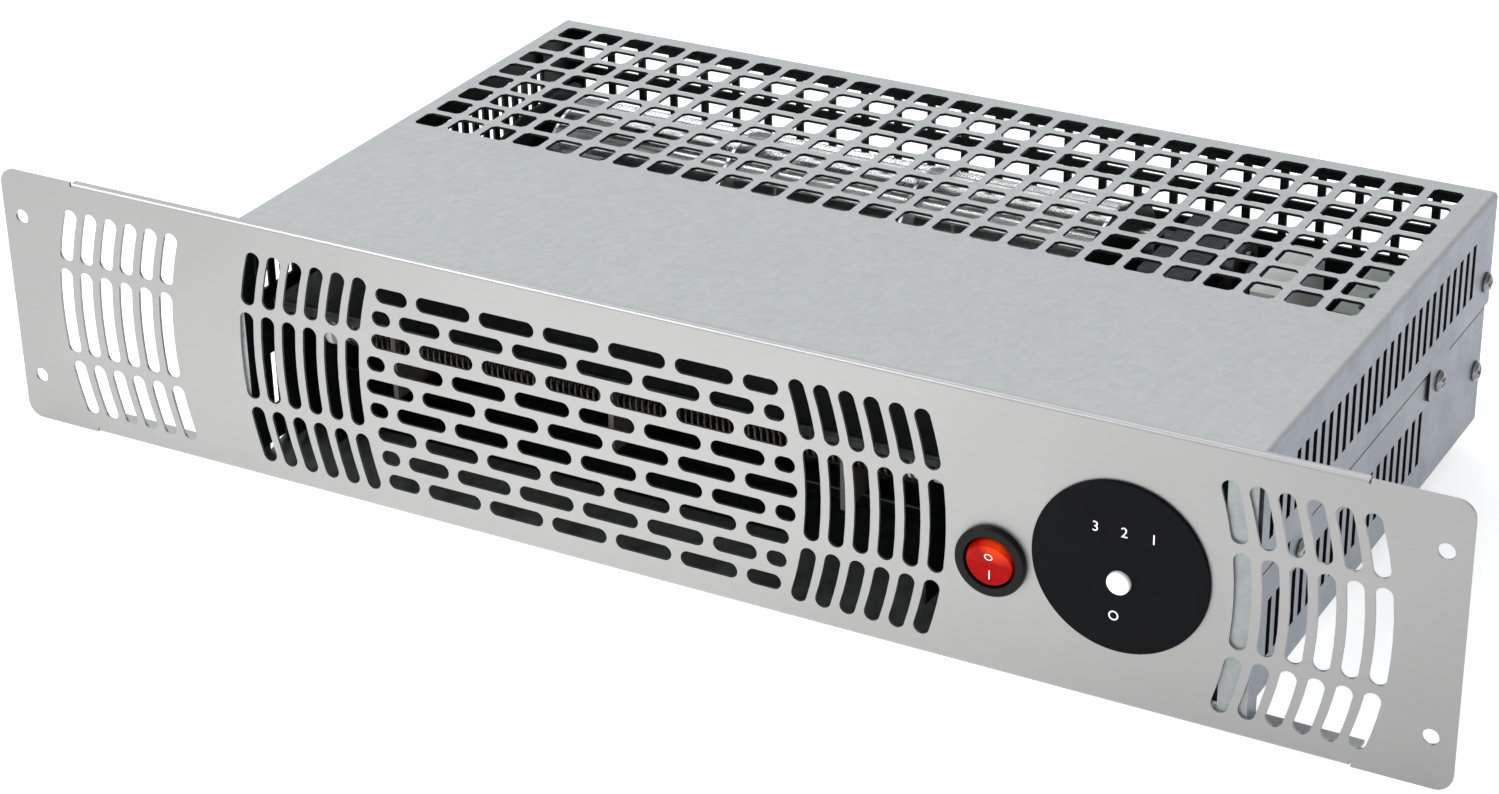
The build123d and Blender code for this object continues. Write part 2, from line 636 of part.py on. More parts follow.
def louvre_places(rear):
    """Y of each louvre, from the rear one forward."""
    count = 1 + int((BODY_DEPTH - rear - LOUVRE_FRONT) / LOUVRE_PITCH)
    return [BODY_DEPTH - rear - place * LOUVRE_PITCH for place in range(count)]


def louvres(rear, band):
    """Slot cutters through both side walls."""
    half = LOUVRE_WIDTH / 2
    low, high = BODY_TOP - band[1], BODY_TOP - band[0]
    cutters = []
    for wall, inward in ((BODY_LEFT, 1), (BODY_RIGHT, -1)):
        cutters += [box(wall - inward, wall + inward * LOUVRE_CUT, y - half, y + half, low, high)
                    for y in louvre_places(rear)]
    return cutters


def screw_place(side):
    """X of the casing's outer face and the outward direction on one side."""
    return (BODY_RIGHT, 1) if side > 0 else (BODY_LEFT, -1)


def top_cover():
    """Lid folded over both sides, with the intake grille, louvres and screw tabs."""
    line = [(BODY_LEFT, COVER_FLANGE_BOTTOM), (BODY_LEFT, BODY_TOP), (BODY_RIGHT, BODY_TOP),
            (BODY_RIGHT, COVER_FLANGE_BOTTOM)]
    section = folded([(x, z) for x, z in reversed(line)], SHEET)
    cover = along_y(section, COVER_FRONT, BODY_DEPTH)
    for y in TAB_Y:
        for side in (-1, 1):
            face, out = screw_place(side)
            tab = box(face, face - out * SHEET, y - TAB_WIDTH / 2, y + TAB_WIDTH / 2,
                      COVER_FLANGE_BOTTOM - TAB_DROP, COVER_FLANGE_BOTTOM + SHEET)
            tab = fillet(tab.edges().filter_by(Axis.X).group_by(Axis.Z)[0], TAB_CORNER_R)
            cover += tab
    outline = chamfer(Rectangle(HOLE, HOLE).vertices(), HOLE_CHAMFER)
    cutters = []
    for column in range(TOP_COLUMNS):
        for row in range(TOP_ROWS):
            x = BODY_LEFT + TOP_LEFT_MARGIN + column * HOLE_PITCH
            y = BODY_DEPTH - TOP_REAR_MARGIN - row * HOLE_PITCH
            cutters.append(extrude(Pos(x, y, BODY_TOP - 2 * SHEET) * outline, amount=3 * SHEET))
    cutters += louvres(UPPER_LOUVRE_REAR, UPPER_LOUVRE_BAND)
    for x, y, z in cover_screw_places():
        out = 1 if x > BODY_X else -1
        cutters.append(rod_x(SCREW_D + SCREW_HOLE_PLAY, x - out * 2 * SHEET, x + out * SHEET, y, z))
    return cover.cut(*[cutter.solid() for cutter in cutters])


def cover_screw_places():
    """The screws that hold the cover: two tabs and one into the rear panel on each side."""
    places = []
    for side in (-1, 1):
        face, out = screw_place(side)
        places += [(face, y, TAB_SCREW_Z) for y in TAB_Y]
        places.append((face, BODY_DEPTH - REAR_SCREW_INSET, BODY_TOP - REAR_SCREW_DEPTHS[0]))
    return places


def rear_screw_places():
    """The screws that join the rear panel's returns to the tray."""
    z = BODY_TOP - REAR_SCREW_DEPTHS[1]
    return [(TRAY_LEFT, BODY_DEPTH - REAR_SCREW_INSET, z),
            (TRAY_RIGHT, BODY_DEPTH - REAR_SCREW_INSET, z)]


def screws(places):
    """Pan-head self-tapping screws that enter the casing's sides."""
    group = []
    for x, y, z in places:
        out = 1 if x > BODY_X else -1
        head = rod_x(SCREW_HEAD_D, x, x + out * SCREW_HEAD, y, z)
        head = fillet(head.faces().sort_by(Axis.X)[-1 if out > 0 else 0].edges(), SCREW_HEAD * 0.6)
        group.append(head + rod_x(SCREW_D, x - out * SCREW_LENGTH, x, y, z))
    return Compound(children=group)


def base_tray():
    """Floor and sides of the casing, with louvres and front ears that meet the fascia."""
    line = [(TRAY_RIGHT, TRAY_SIDE_TOP), (TRAY_RIGHT, BODY_BOTTOM), (TRAY_LEFT, BODY_BOTTOM),
            (TRAY_LEFT, TRAY_SIDE_TOP)]
    tray = along_y(folded([(x, z) for x, z in reversed(line)], SHEET), 0, BODY_DEPTH)
    tray -= box(TRAY_LEFT + SHEET + BEND_R, APRON_RIGHT, 0, APRON_DEPTH + BEND_R, BODY_BOTTOM, FLOOR)
    for wall, inward in ((TRAY_LEFT, 1), (TRAY_RIGHT, -1)):
        ear = box(wall, wall - EAR_WIDTH, 0, SHEET, EAR_BOTTOM, EAR_TOP)
        rib = box(wall, wall + inward * SHEET, 0, EAR_RIB, EAR_BOTTOM, EAR_TOP)
        tray += ear + rib
    cutters = louvres(LOWER_LOUVRE_REAR, LOWER_LOUVRE_BAND)
    for x, y, z in cover_screw_places()[:2] + cover_screw_places()[3:5] + rear_screw_places():
        out = 1 if x > BODY_X else -1
        cutters.append(rod_x(SCREW_D, x - out * 4 * SHEET, x + out * SHEET, y, z))
    return tray.cut(*[cutter.solid() for cutter in cutters])


def rear_panel():
    """Back wall with its intake grille, folded round the corners inside the tray."""
    left, right = TRAY_LEFT + SHEET, TRAY_RIGHT - SHEET
    line = [(left, BODY_DEPTH - REAR_RETURN), (left, BODY_DEPTH), (right, BODY_DEPTH),
            (right, BODY_DEPTH - REAR_RETURN)]
    top = BODY_TOP - SHEET
    section = Plane.XY.offset(FLOOR) * folded([point for point in reversed(line)], SHEET)
    panel = extrude(section, amount=top - FLOOR)
    half = HOLE / 2
    cutters = [box(edge, edge + inward * REAR_NOTCH, BODY_DEPTH - REAR_RETURN, BODY_DEPTH, FLOOR,
                   FLOOR + REAR_NOTCH) for edge, inward in ((left, 1), (right, -1))]
    for column in range(REAR_COLUMNS):
        x = BODY_X + (column - (REAR_COLUMNS - 1) / 2) * REAR_PITCH
        for depth in REAR_ROW_DEPTHS:
            z = BODY_TOP - depth
            cutters.append(box(x - half, x + half, BODY_DEPTH - 2 * SHEET, BODY_DEPTH + SHEET,
                               z - half, z + half))
    for x, y, z in rear_screw_places() + [place for place in cover_screw_places() if place[1] > TAB_Y[1] + 1]:
        out = 1 if x > BODY_X else -1
        cutters.append(rod_x(SCREW_D, x - out * 5 * SHEET, x + out * SHEET, y, z))
    cutters.append(rod_y(GLAND_THREAD, BODY_DEPTH - 2 * SHEET, BODY_DEPTH + SHEET, GLAND_X, GLAND_Z))
    return panel.cut(*[cutter.solid() for cutter in cutters])


def outlet_apron():
    """Sloping floor that widens the outlet down to the fascia's bottom row of slots."""
    section = folded([(0, APRON_FRONT_Z + APRON_LIP), (0, APRON_FRONT_Z), (APRON_DEPTH, FLOOR),
                      (APRON_DEPTH + APRON_SEAT, FLOOR)], SHEET)
    apron = along_x(section, TRAY_LEFT + SHEET, APRON_RIGHT)
    inner = TRAY_LEFT + SHEET
    return apron - box(inner, inner + BEND_R, APRON_SLIT_Y, BODY_DEPTH, BODY_BOTTOM, BODY_TOP)


# ---- cross-flow fan -------------------------------------------------------

def polar(radius, degrees):
    """Y and Z of a point round the fan's axis; 0 points to the rear, 90 up."""
    angle = math.radians(degrees)
    return (FAN_Y + radius * math.cos(angle), FAN_Z + radius * math.sin(angle))


def blade_section(degrees):
    """One curved blade, leaning forward between its inner and outer edge."""
    inner_r = FAN_R - BLADE_CHORD
    lean = math.degrees(BLADE_CHORD * math.tan(math.radians(BLADE_LEAN)) / FAN_R)
    thick = math.degrees(BLADE_SHEET / (FAN_R - BLADE_CHORD / 2))
    arcs = []
    for turn in (0.0, thick):
        root = polar(inner_r, degrees + turn)
        belly = polar(FAN_R - BLADE_CHORD / 2, degrees + turn + lean / 2 + BLADE_CAMBER)
        tip = polar(FAN_R - BLADE_INSET, degrees + turn + lean)
        arcs.append(ThreePointArc(root, belly, tip))
    return make_face([*arcs, Line(arcs[0] @ 0, arcs[1] @ 0), Line(arcs[0] @ 1, arcs[1] @ 1)])


def fan_impeller():
    """Blades through two rings between two end discs with hubs."""
    impeller = rod_x(2 * FAN_R, FAN_LEFT, FAN_LEFT + FAN_DISC, FAN_Y, FAN_Z)
    impeller += rod_x(2 * FAN_R, FAN_RIGHT - FAN_DISC, FAN_RIGHT, FAN_Y, FAN_Z)
    impeller += rod_x(HUB_D, FAN_LEFT, FAN_LEFT + HUB_LENGTH, FAN_Y, FAN_Z)
    impeller += rod_x(HUB_D, FAN_RIGHT - HUB_LENGTH, FAN_RIGHT, FAN_Y, FAN_Z)
    for place in range(1, FAN_SEGMENTS):
        x = FAN_LEFT + place * FAN_SEGMENT
        ring = rod_x(2 * FAN_R, x - FAN_DISC / 2, x + FAN_DISC / 2, FAN_Y, FAN_Z)
        impeller += ring - rod_x(2 * (FAN_R - BLADE_CHORD - 1), x - FAN_DISC, x + FAN_DISC, FAN_Y, FAN_Z)
    blades = [along_x(blade_section(place * 360 / BLADES), FAN_LEFT + FAN_DISC / 2, FAN_RIGHT - FAN_DISC / 2)
              for place in range(BLADES)]
    impeller = impeller.fuse(*[blade.solid() for blade in blades])
    return impeller - rod_x(SHAFT_D, FAN_LEFT - 1, FAN_RIGHT + 1, FAN_Y, FAN_Z)


def fan_stub_shaft():
    """Steel pin from the impeller's left hub into the bearing."""
    return chamfer(rod_x(SHAFT_D, BEARING_LEFT - SHAFT_OVERHANG, FAN_LEFT + HUB_LENGTH, FAN_Y, FAN_Z).edges()
                   .filter_by(GeomType.CIRCLE), SHAFT_CHAMFER)


def fan_bearing():
    """Sintered bush for the impeller's left end."""
    bush = rod_x(BEARING_D, BEARING_LEFT, BEARING_LEFT + BEARING_LENGTH, FAN_Y, FAN_Z)
    bore = SHAFT_D + 2 * SHAFT_CLEARANCE
    return bush - rod_x(bore, BEARING_LEFT, BEARING_LEFT + BEARING_LENGTH, FAN_Y, FAN_Z)


def bearing_rubber():
    """Grooved rubber ring that holds the bush in the left end plate."""
    outer = LEFT_PLATE - PLATE_SHEET
    ring = rod_x(RUBBER_NECK_D, outer, LEFT_PLATE, FAN_Y, FAN_Z)
    ring += rod_x(RUBBER_D, outer - RUBBER_LIP, outer, FAN_Y, FAN_Z)
    ring += rod_x(RUBBER_D, LEFT_PLATE, LEFT_PLATE + RUBBER_LIP, FAN_Y, FAN_Z)
    return ring - rod_x(BEARING_D, outer - RUBBER_LIP, LEFT_PLATE + RUBBER_LIP, FAN_Y, FAN_Z)


def end_plate(face, outward, hole):
    """Upright plate at one end of the fan, with a foot on the floor and a hole on the axis."""
    outline = Polyline((PLATE_FRONT, FLOOR), (PLATE_REAR, FLOOR), (PLATE_REAR, FAN_Z),
                       (FAN_Y + PLATE_TOP_BEHIND, PLATE_TOP), (FAN_Y - PLATE_TOP_AHEAD, PLATE_TOP),
                       (PLATE_FRONT, ROOF_Z), close=True)
    outer = face + outward * PLATE_SHEET
    plate = along_x(make_face(outline), min(face, outer), max(face, outer))
    plate = fillet(plate.edges().filter_by(Axis.X).group_by(Axis.Z)[-1], PLATE_CORNER_R)
    plate += box(face, face + outward * PLATE_FOOT, PLATE_FRONT + PLATE_FOOT_INSET,
                 PLATE_REAR - PLATE_FOOT_INSET, FLOOR, FLOOR + PLATE_SHEET)
    for y in FOOT_SCREW_Y:
        plate -= rod_z(FOOT_SCREW_D, FLOOR, FLOOR + PLATE_SHEET, face + outward * FOOT_SCREW_OUT, y)
    return plate - rod_x(hole, face, outer, FAN_Y, FAN_Z)


def left_end_plate():
    return end_plate(LEFT_PLATE, -1, RUBBER_NECK_D)


def motor_end_plate():
    plate = end_plate(RIGHT_PLATE, 1, HUB_D + 2 * HUB_WINDOW)
    for z in motor_screw_places():
        plate -= rod_x(MOTOR_SCREW_D, RIGHT_PLATE, RIGHT_PLATE + PLATE_SHEET, FAN_Y, z)
    return plate


def foot_screws():
    """Screws that hold both end plates' feet to the tray's floor."""
    group = []
    top = FLOOR + PLATE_SHEET
    for face, outward in ((LEFT_PLATE, -1), (RIGHT_PLATE, 1)):
        for y in FOOT_SCREW_Y:
            x = face + outward * FOOT_SCREW_OUT
            head = rod_z(FOOT_SCREW_HEAD_D, top, top + FOOT_SCREW_HEAD, x, y)
            group.append(head + rod_z(FOOT_SCREW_D, FLOOR, top, x, y))
    return Compound(children=group)


def fan_scroll():
    """Curved casing under the fan that leads the air forward along the floor."""
    arcs = []
    for extra in (0.0, GUIDE_SHEET):
        start = polar(FAN_R + SCROLL_GAP + extra, SCROLL_START)
        middle = polar((FAN_R + SCROLL_GAP + SCROLL_BOTTOM_R) / 2 + extra, (SCROLL_START - 90) / 2)
        bottom = polar(SCROLL_BOTTOM_R + extra, -90)
        arcs.append((start, middle, bottom, (PLATE_FRONT, bottom[1])))
    lines = []
    for start, middle, bottom, front in arcs:
        lines += [ThreePointArc(start, middle, bottom), Line(bottom, front)]
    lines += [Line(arcs[0][0], arcs[1][0]), Line(arcs[0][3], arcs[1][3])]
    return along_x(make_face(lines), LEFT_PLATE, RIGHT_PLATE)


def air_guide():
    """Roof and left side of the outlet duct, from a hem behind the fascia to the tongue at the fan."""
    top = ROOF_Z + GUIDE_SHEET
    front = folded([(PLATE_FRONT, top), (ROOF_FRONT, top), (ROOF_FRONT, ROOF_Z - ROOF_HEM)], GUIDE_SHEET)
    guide = along_x(front, *ROOF_SPAN)
    tongue = polar(FAN_R + TONGUE_GAP, 180 + TONGUE_ANGLE)
    knee = (tongue[0] - TONGUE_LENGTH, ROOF_Z - TONGUE_LENGTH / 2)
    rear = folded([tongue, knee, (knee[0] - TONGUE_KNEE, top), (PLATE_FRONT, top)], GUIDE_SHEET,
                  TONGUE_BEND_R)
    guide += along_x(rear, LEFT_PLATE, RIGHT_PLATE)
    left = ROOF_SPAN[0]
    side = [(left, ROOF_FRONT), (left, PLATE_FRONT), (LEFT_PLATE - PLATE_SHEET, PLATE_FRONT)]
    section = Plane.XY.offset(FLOOR + SIDE_CLEAR) * folded([point for point in reversed(side)], GUIDE_SHEET)
    return guide + extrude(section, amount=top - FLOOR - SIDE_CLEAR, dir=(0, 0, 1))


# ---- fan motor ------------------------------------------------------------

def motor_screw_places():
    """Z of the two long screws through the motor."""
    reach = STATOR_WIDTH / 2 - MOTOR_SCREW_INSET
    return (FAN_Z - reach, FAN_Z + reach)


def motor_stator():
    """Laminated C-frame with the rotor's bore behind and the winding's core in front."""
    ends = (STATOR_X, STATOR_X + STATOR_STACK)
    half = STATOR_WIDTH / 2
    core = FAN_Y - CORE_REACH
    frame = box(*ends, core, FAN_Y + STATOR_BEHIND, FAN_Z - half, FAN_Z + half)
    frame = fillet(frame.edges().filter_by(Axis.X), STATOR_CORNER_R)
    frame -= box(*ends, core + CORE, FAN_Y - WINDOW_REACH, FAN_Z - half + LEG, FAN_Z + half - LEG)
    frame -= rod_x(ROTOR_D + 2 * ROTOR_GAP, *ends, FAN_Y, FAN_Z)
    for z in motor_screw_places():
        frame -= rod_x(MOTOR_SCREW_D, *ends, FAN_Y, z)
    return frame


def motor_winding():
    """Taped coil on its bobbin, round the core."""
    half = STATOR_WIDTH / 2 - LEG - WINDING_PLAY
    core = FAN_Y - CORE_REACH
    near = FAN_Y - WINDOW_REACH - WINDING_PLAY
    far = 2 * core + CORE - near
    x0, x1 = STATOR_X - COIL_OVERHANG, STATOR_X + STATOR_STACK + COIL_OVERHANG
    coil = box(x0, x1, far, near, FAN_Z - half + COIL_CHEEK, FAN_Z + half - COIL_CHEEK)
    coil = fillet(coil.edges().filter_by(Axis.Z), COIL_EDGE_R)
    for side in (-1, 1):
        outer = FAN_Z + side * half
        coil += box(x0 - COIL_CHEEK_OUT, x1 + COIL_CHEEK_OUT, far, near, outer, outer - side * COIL_CHEEK)
    return coil - box(STATOR_X, STATOR_X + STATOR_STACK, core, core + CORE, FAN_Z - half, FAN_Z + half)


def motor_bracket(x, toward):
    """Die-cast strap over one face of the stator, with feet, a boss and a bearing bore."""
    half_y, half_z = BRACKET_WIDTH / 2, STATOR_WIDTH / 2
    strap = box(x, x + MOTOR_BRACKET, FAN_Y - half_y, FAN_Y + half_y, FAN_Z - half_z, FAN_Z + half_z)
    strap = fillet(strap.edges().filter_by(Axis.X), BRACKET_CORNER_R)
    inner = x + MOTOR_BRACKET if toward > 0 else x - BRACKET_FOOT
    for z in motor_screw_places():
        strap += rod_x(BRACKET_BOSS_D, inner, inner + BRACKET_FOOT, FAN_Y, z)
    boss = (x - BUSH_BOSS_OUT, x + MOTOR_BRACKET + BUSH_BOSS_OUT)
    strap += rod_x(MOTOR_BUSH_D + 2 * BUSH_BOSS, *boss, FAN_Y, FAN_Z)
    strap -= rod_x(MOTOR_BUSH_D, *boss, FAN_Y, FAN_Z)
    for z in motor_screw_places():
        strap -= rod_x(MOTOR_SCREW_D, min(x, inner), max(x, inner) + MOTOR_BRACKET, FAN_Y, z)
    return strap


def motor_brackets():
    return Compound(children=[motor_bracket(NEAR_BRACKET, 1), motor_bracket(FAR_BRACKET, -1)])


def motor_bushes():
    """Self-aligning sintered bushes in the two brackets."""
    bushes = []
    for x in (NEAR_BRACKET, FAR_BRACKET):
        bush = rod_x(MOTOR_BUSH_D, x, x + MOTOR_BRACKET, FAN_Y, FAN_Z)
        bushes.append(bush - rod_x(SHAFT_D + 2 * SHAFT_CLEARANCE, x, x + MOTOR_BRACKET, FAN_Y, FAN_Z))
    return Compound(children=bushes)


def motor_screws():
    """Long screws that clamp the motor and its spacers to the end plate."""
    group = []
    head = FAR_BRACKET + MOTOR_BRACKET
    for z in motor_screw_places():
        shank = rod_x(MOTOR_SCREW_D, RIGHT_PLATE, head, FAN_Y, z)
        group.append(shank + rod_x(MOTOR_SCREW_HEAD_D, head, head + MOTOR_SCREW_HEAD, FAN_Y, z))
    return Compound(children=group)


def motor_spacers():
    group = []
    for z in motor_screw_places():
        sleeve = rod_x(SPACER_D, RIGHT_PLATE + PLATE_SHEET, NEAR_BRACKET, FAN_Y, z)
        group.append(sleeve - rod_x(MOTOR_SCREW_D, RIGHT_PLATE, NEAR_BRACKET, FAN_Y, z))
    return Compound(children=group)


def motor_shaft():
    end = COOLING_FAN_X + COOLING_FAN_LENGTH
    return chamfer(rod_x(SHAFT_D, FAN_RIGHT - HUB_LENGTH, end, FAN_Y, FAN_Z).edges()
                   .filter_by(GeomType.CIRCLE), SHAFT_CHAMFER)


def motor_rotor():
    """Squirrel-cage rotor with its two end rings."""
    x0 = STATOR_X + (STATOR_STACK - ROTOR_LENGTH) / 2
    rotor = rod_x(ROTOR_D, x0, x0 + ROTOR_LENGTH, FAN_Y, FAN_Z)
    ends = (x0 - ROTOR_RING, x0 + ROTOR_LENGTH + ROTOR_RING)
    rotor += rod_x(ROTOR_RING_D, *ends, FAN_Y, FAN_Z)
    return rotor - rod_x(SHAFT_D, *ends, FAN_Y, FAN_Z)


def cooling_fan():
    """Small radial fan on the free end of the motor's shaft."""
    x0, x1 = COOLING_FAN_X, COOLING_FAN_X + COOLING_FAN_LENGTH
    fan = rod_x(COOLING_FAN_D, x0, x0 + COOLING_DISC, FAN_Y, FAN_Z)
    fan += rod_x(COOLING_HUB_D, x0, x1, FAN_Y, FAN_Z)
    half = COOLING_VANE / 2
    for place in range(COOLING_VANES):
        vane = box(x0, x1, FAN_Y + SHAFT_D / 2, FAN_Y + COOLING_FAN_D / 2 - COOLING_VANE, FAN_Z - half,
                   FAN_Z + half)
        fan += vane.rotate(Axis((0, FAN_Y, FAN_Z), (1, 0, 0)), place * 360 / COOLING_VANES)
    return fan - rod_x(SHAFT_D, x0, x1, FAN_Y, FAN_Z)


# ---- heating element ------------------------------------------------------

def element_frame():
    """Cheeks and rails that carry the element between the roof and the floor."""
    step = APRON_DEPTH + APRON_SEAT
    outline = Polyline((FRAME_FRONT, ROOF_Z), (FRAME_FRONT, FLOOR + SHEET), (step, FLOOR + SHEET),
                       (step, FLOOR), (PLATE_FRONT, FLOOR), (PLATE_FRONT, ROOF_Z), close=True)
    frame = Part()
    for face, outward in ((LEFT_PLATE, -1), (RIGHT_PLATE, 1)):
        outer = face + outward * FRAME_SHEET
        frame += along_x(make_face(outline), min(face, outer), max(face, outer))
        frame += box(face, face + outward * FRAME_RAIL, step, PLATE_FRONT, FLOOR, FLOOR + FRAME_SHEET)
        for y, z in zip(ELEMENT_Y, ELEMENT_Z):
            frame -= rod_x(INSULATOR_NECK_D, face, outer, y, z)
    for y in (RAIL_Y, RAIL_Y + RAIL_STEP):
        frame += box(LEFT_PLATE, RIGHT_PLATE, y, y + FRAME_RAIL, RAIL_Z - FRAME_SHEET, RAIL_Z)
    return frame


def mica_boards():
    """Upright mica boards that the coils are threaded through."""
    boards = []
    for x in MICA_X:
        faces = (x - MICA_SHEET / 2, x + MICA_SHEET / 2)
        board = box(*faces, MICA_FRONT, MICA_FRONT + MICA_DEPTH, RAIL_Z, ROOF_Z)
        for y, z in zip(ELEMENT_Y, ELEMENT_Z):
            board -= rod_x(ELEMENT_COIL_D + 2 * COIL_PLAY, *faces, y, z)
        boards.append(board)
    return Compound(children=boards)


def coil_span():
    """Both ends of the coils, against the insulators' collars."""
    return LEFT_PLATE + INSULATOR_COLLAR, RIGHT_PLATE - INSULATOR_COLLAR


def heating_coils():
    """Envelope of the three open resistance coils."""
    bore = ELEMENT_COIL_D - 2 * ELEMENT_WIRE_D
    coils = [rod_x(ELEMENT_COIL_D, *coil_span(), y, z) - rod_x(bore, *coil_span(), y, z)
             for y, z in zip(ELEMENT_Y, ELEMENT_Z)]
    return Compound(children=coils)


def coil_insulators():
    """Ceramic bushes in the frame's cheeks, with a collar and a spigot inside each coil's end."""
    spigot_d = ELEMENT_COIL_D - 2 * ELEMENT_WIRE_D - 2 * COIL_PLAY
    bushes = []
    for face, outward in ((LEFT_PLATE, -1), (RIGHT_PLATE, 1)):
        for y, z in zip(ELEMENT_Y, ELEMENT_Z):
            collar = face - outward * INSULATOR_COLLAR
            bush = rod_x(INSULATOR_COLLAR_D, collar, face, y, z)
            bush += rod_x(spigot_d, collar - outward * INSULATOR_SPIGOT, collar, y, z)
            bush += rod_x(INSULATOR_NECK_D, face, face + outward * INSULATOR_NECK, y, z)
            ends = (collar - outward * INSULATOR_SPIGOT, face + outward * INSULATOR_NECK)
            bushes.append(bush - rod_x(STUD_D, *ends, y, z))
    return Compound(children=bushes)


def element_terminals():
    """Studs through the insulators: flat tabs at the right, one link bar under nuts at the left."""
    length, width = ELEMENT_TAB
    studs = []
    outer = LEFT_PLATE - INSULATOR_NECK
    run = (ELEMENT_Y[-1] - ELEMENT_Y[0], ELEMENT_Z[-1] - ELEMENT_Z[0])
    half = math.hypot(*run) / 2 + LINK_END
    y, z = ELEMENT_Y[0] + run[0] / 2, ELEMENT_Z[0] + run[1] / 2
    link = box(outer - TAB_SHEET, outer, y - half, y + half, z - width / 2, z + width / 2)
    link = link.rotate(Axis((0, y, z), (1, 0, 0)), math.degrees(math.atan2(run[1], run[0])))
    for y, z in zip(ELEMENT_Y, ELEMENT_Z):
        link += rod_x(STUD_D, LEFT_PLATE + INSULATOR_COLLAR + INSULATOR_SPIGOT, outer - LINK_STUD, y, z)
        nut = at(RegularPolygon(LINK_NUT_R, 6), y, z)
        link += along_x(nut, outer - TAB_SHEET - LINK_NUT, outer - TAB_SHEET)
    studs.append(link)
    outer = RIGHT_PLATE + INSULATOR_NECK
    for y, z in zip(ELEMENT_Y, ELEMENT_Z):
        stud = rod_x(STUD_D, RIGHT_PLATE - INSULATOR_COLLAR - INSULATOR_SPIGOT, outer, y, z)
        studs.append(stud + box(outer, outer + length, y - TAB_SHEET / 2, y + TAB_SHEET / 2,
                                z - width / 2, z + width / 2))
    return Compound(children=studs)


def thermal_cutout():
    """Round cut-out on the element's right cheek, with its two tabs."""
    x0 = RIGHT_PLATE + FRAME_SHEET
    x1 = x0 + CUTOUT_LENGTH
    length, width = ELEMENT_TAB
    body = rod_x(CUTOUT_D, x0, x1, CUTOUT_Y, CUTOUT_Z)
    for z in (CUTOUT_Z - CUTOUT_TAB_Z, CUTOUT_Z + CUTOUT_TAB_Z):
        body += box(x1, x1 + length, CUTOUT_Y - width / 2, CUTOUT_Y + width / 2, z - TAB_SHEET / 2,
                    z + TAB_SHEET / 2)
    flange_y, flange_z = CUTOUT_FLANGE
    return body + box(x0, x0 + TAB_SHEET, CUTOUT_Y - flange_y / 2, CUTOUT_Y + flange_y / 2,
                      CUTOUT_Z - flange_z / 2, CUTOUT_Z + flange_z / 2)


# ---- mains side -----------------------------------------------------------

def mains_filter():
    """White suppression filter in a box, standing on the tray's floor."""
    half_x, half_y = FILTER_WIDTH / 2, FILTER_DEPTH / 2
    case = box(FILTER_X - half_x, FILTER_X + half_x, FILTER_Y - half_y, FILTER_Y + half_y,
               FLOOR, FLOOR + FILTER_HEIGHT)
    case = fillet(case.edges().filter_by(Axis.Z), FILTER_EDGE_R)
    length, height = FILTER_LUG
    front = FILTER_Y - half_y
    lug = box(FILTER_X - half_x, FILTER_X + half_x, front - length, front, FLOOR, FLOOR + height)
    lug = fillet(lug.edges().filter_by(Axis.Z).group_by(Axis.Y)[0], FILTER_LUG_R)
    lug -= rod_z(FLOOR_SCREW_HOLE_D, FLOOR, FLOOR + height, FILTER_X, front - FILTER_LUG_HOLE)
    return case + lug


def terminal_way(place):
    """Y of one way of the mains terminal block."""
    return TERMINAL_Y + (place - (TERMINAL_WAYS - 1) / 2) * TERMINAL_PITCH


def terminal_block():
    """Mains terminal block: a moulded body with wire chambers on both sides and screw wells."""
    half_x, half_y = TERMINAL_WIDTH / 2, TERMINAL_DEPTH / 2
    top = TERMINAL_BASE + TERMINAL_HEIGHT
    chamber = TERMINAL_BASE + TERMINAL_CHAMBER_Z
    block = box(TERMINAL_X - half_x, TERMINAL_X + half_x, TERMINAL_Y - half_y, TERMINAL_Y + half_y,
                FLOOR, top)
    block = fillet(block.edges().filter_by(Axis.Y).group_by(Axis.Z)[-1], TERMINAL_EDGE_R)
    for place in range(TERMINAL_WAYS):
        y = terminal_way(place)
        for side in (-1, 1):
            mouth = TERMINAL_X + side * half_x
            block -= rod_x(TERMINAL_WELL_D, mouth - side * TERMINAL_CHAMBER, mouth, y, chamber)
        block -= rod_z(TERMINAL_WELL_D, chamber, top, TERMINAL_X, y)
    return block


def cable_gland():
    """M16 gland in the rear panel: thread, outer hexagon and cap, inner lock nut."""
    inside = BODY_DEPTH - SHEET
    hexagon = at(RegularPolygon(GLAND_HEX_R, 6), GLAND_X, GLAND_Z)
    flange, end = BODY_DEPTH + GLAND_FLANGE, BODY_DEPTH + GLAND_CAP
    gland = rod_y(GLAND_THREAD, inside - GLAND_INSIDE, BODY_DEPTH, GLAND_X, GLAND_Z)
    gland += along_y(hexagon, BODY_DEPTH, flange)
    cap = rod_y(GLAND_CAP_D, flange, end, GLAND_X, GLAND_Z)
    gland += fillet(cap.faces().sort_by(Axis.Y)[-1].edges(), GLAND_CAP_R)
    gland += along_y(hexagon, inside - GLAND_NUT, inside)
    return gland - rod_y(GLAND_BORE, inside - GLAND_INSIDE, end, GLAND_X, GLAND_Z)


def earth_stud():
    """Brass earth stud with two nuts on the tray's floor."""
    stud = rod_z(EARTH_D, FLOOR, FLOOR + EARTH_LENGTH, EARTH_X, EARTH_Y)
    for z in (FLOOR, FLOOR + EARTH_NUT_STEP):
        stud += extrude(Pos(EARTH_X, EARTH_Y, z) * RegularPolygon(EARTH_NUT_R, 6), amount=EARTH_NUT)
    return stud


def wires(runs):
    """Insulated wires along straight runs joined by arcs."""
    group = []
    for points in runs:
        path = FilletPolyline(*points, radius=WIRE_BEND)
        start = Plane(origin=path @ 0, z_dir=path % 0)
        group.append(sweep(start * Circle(WIRE_D / 2), path=path))
    return Compound(children=group)


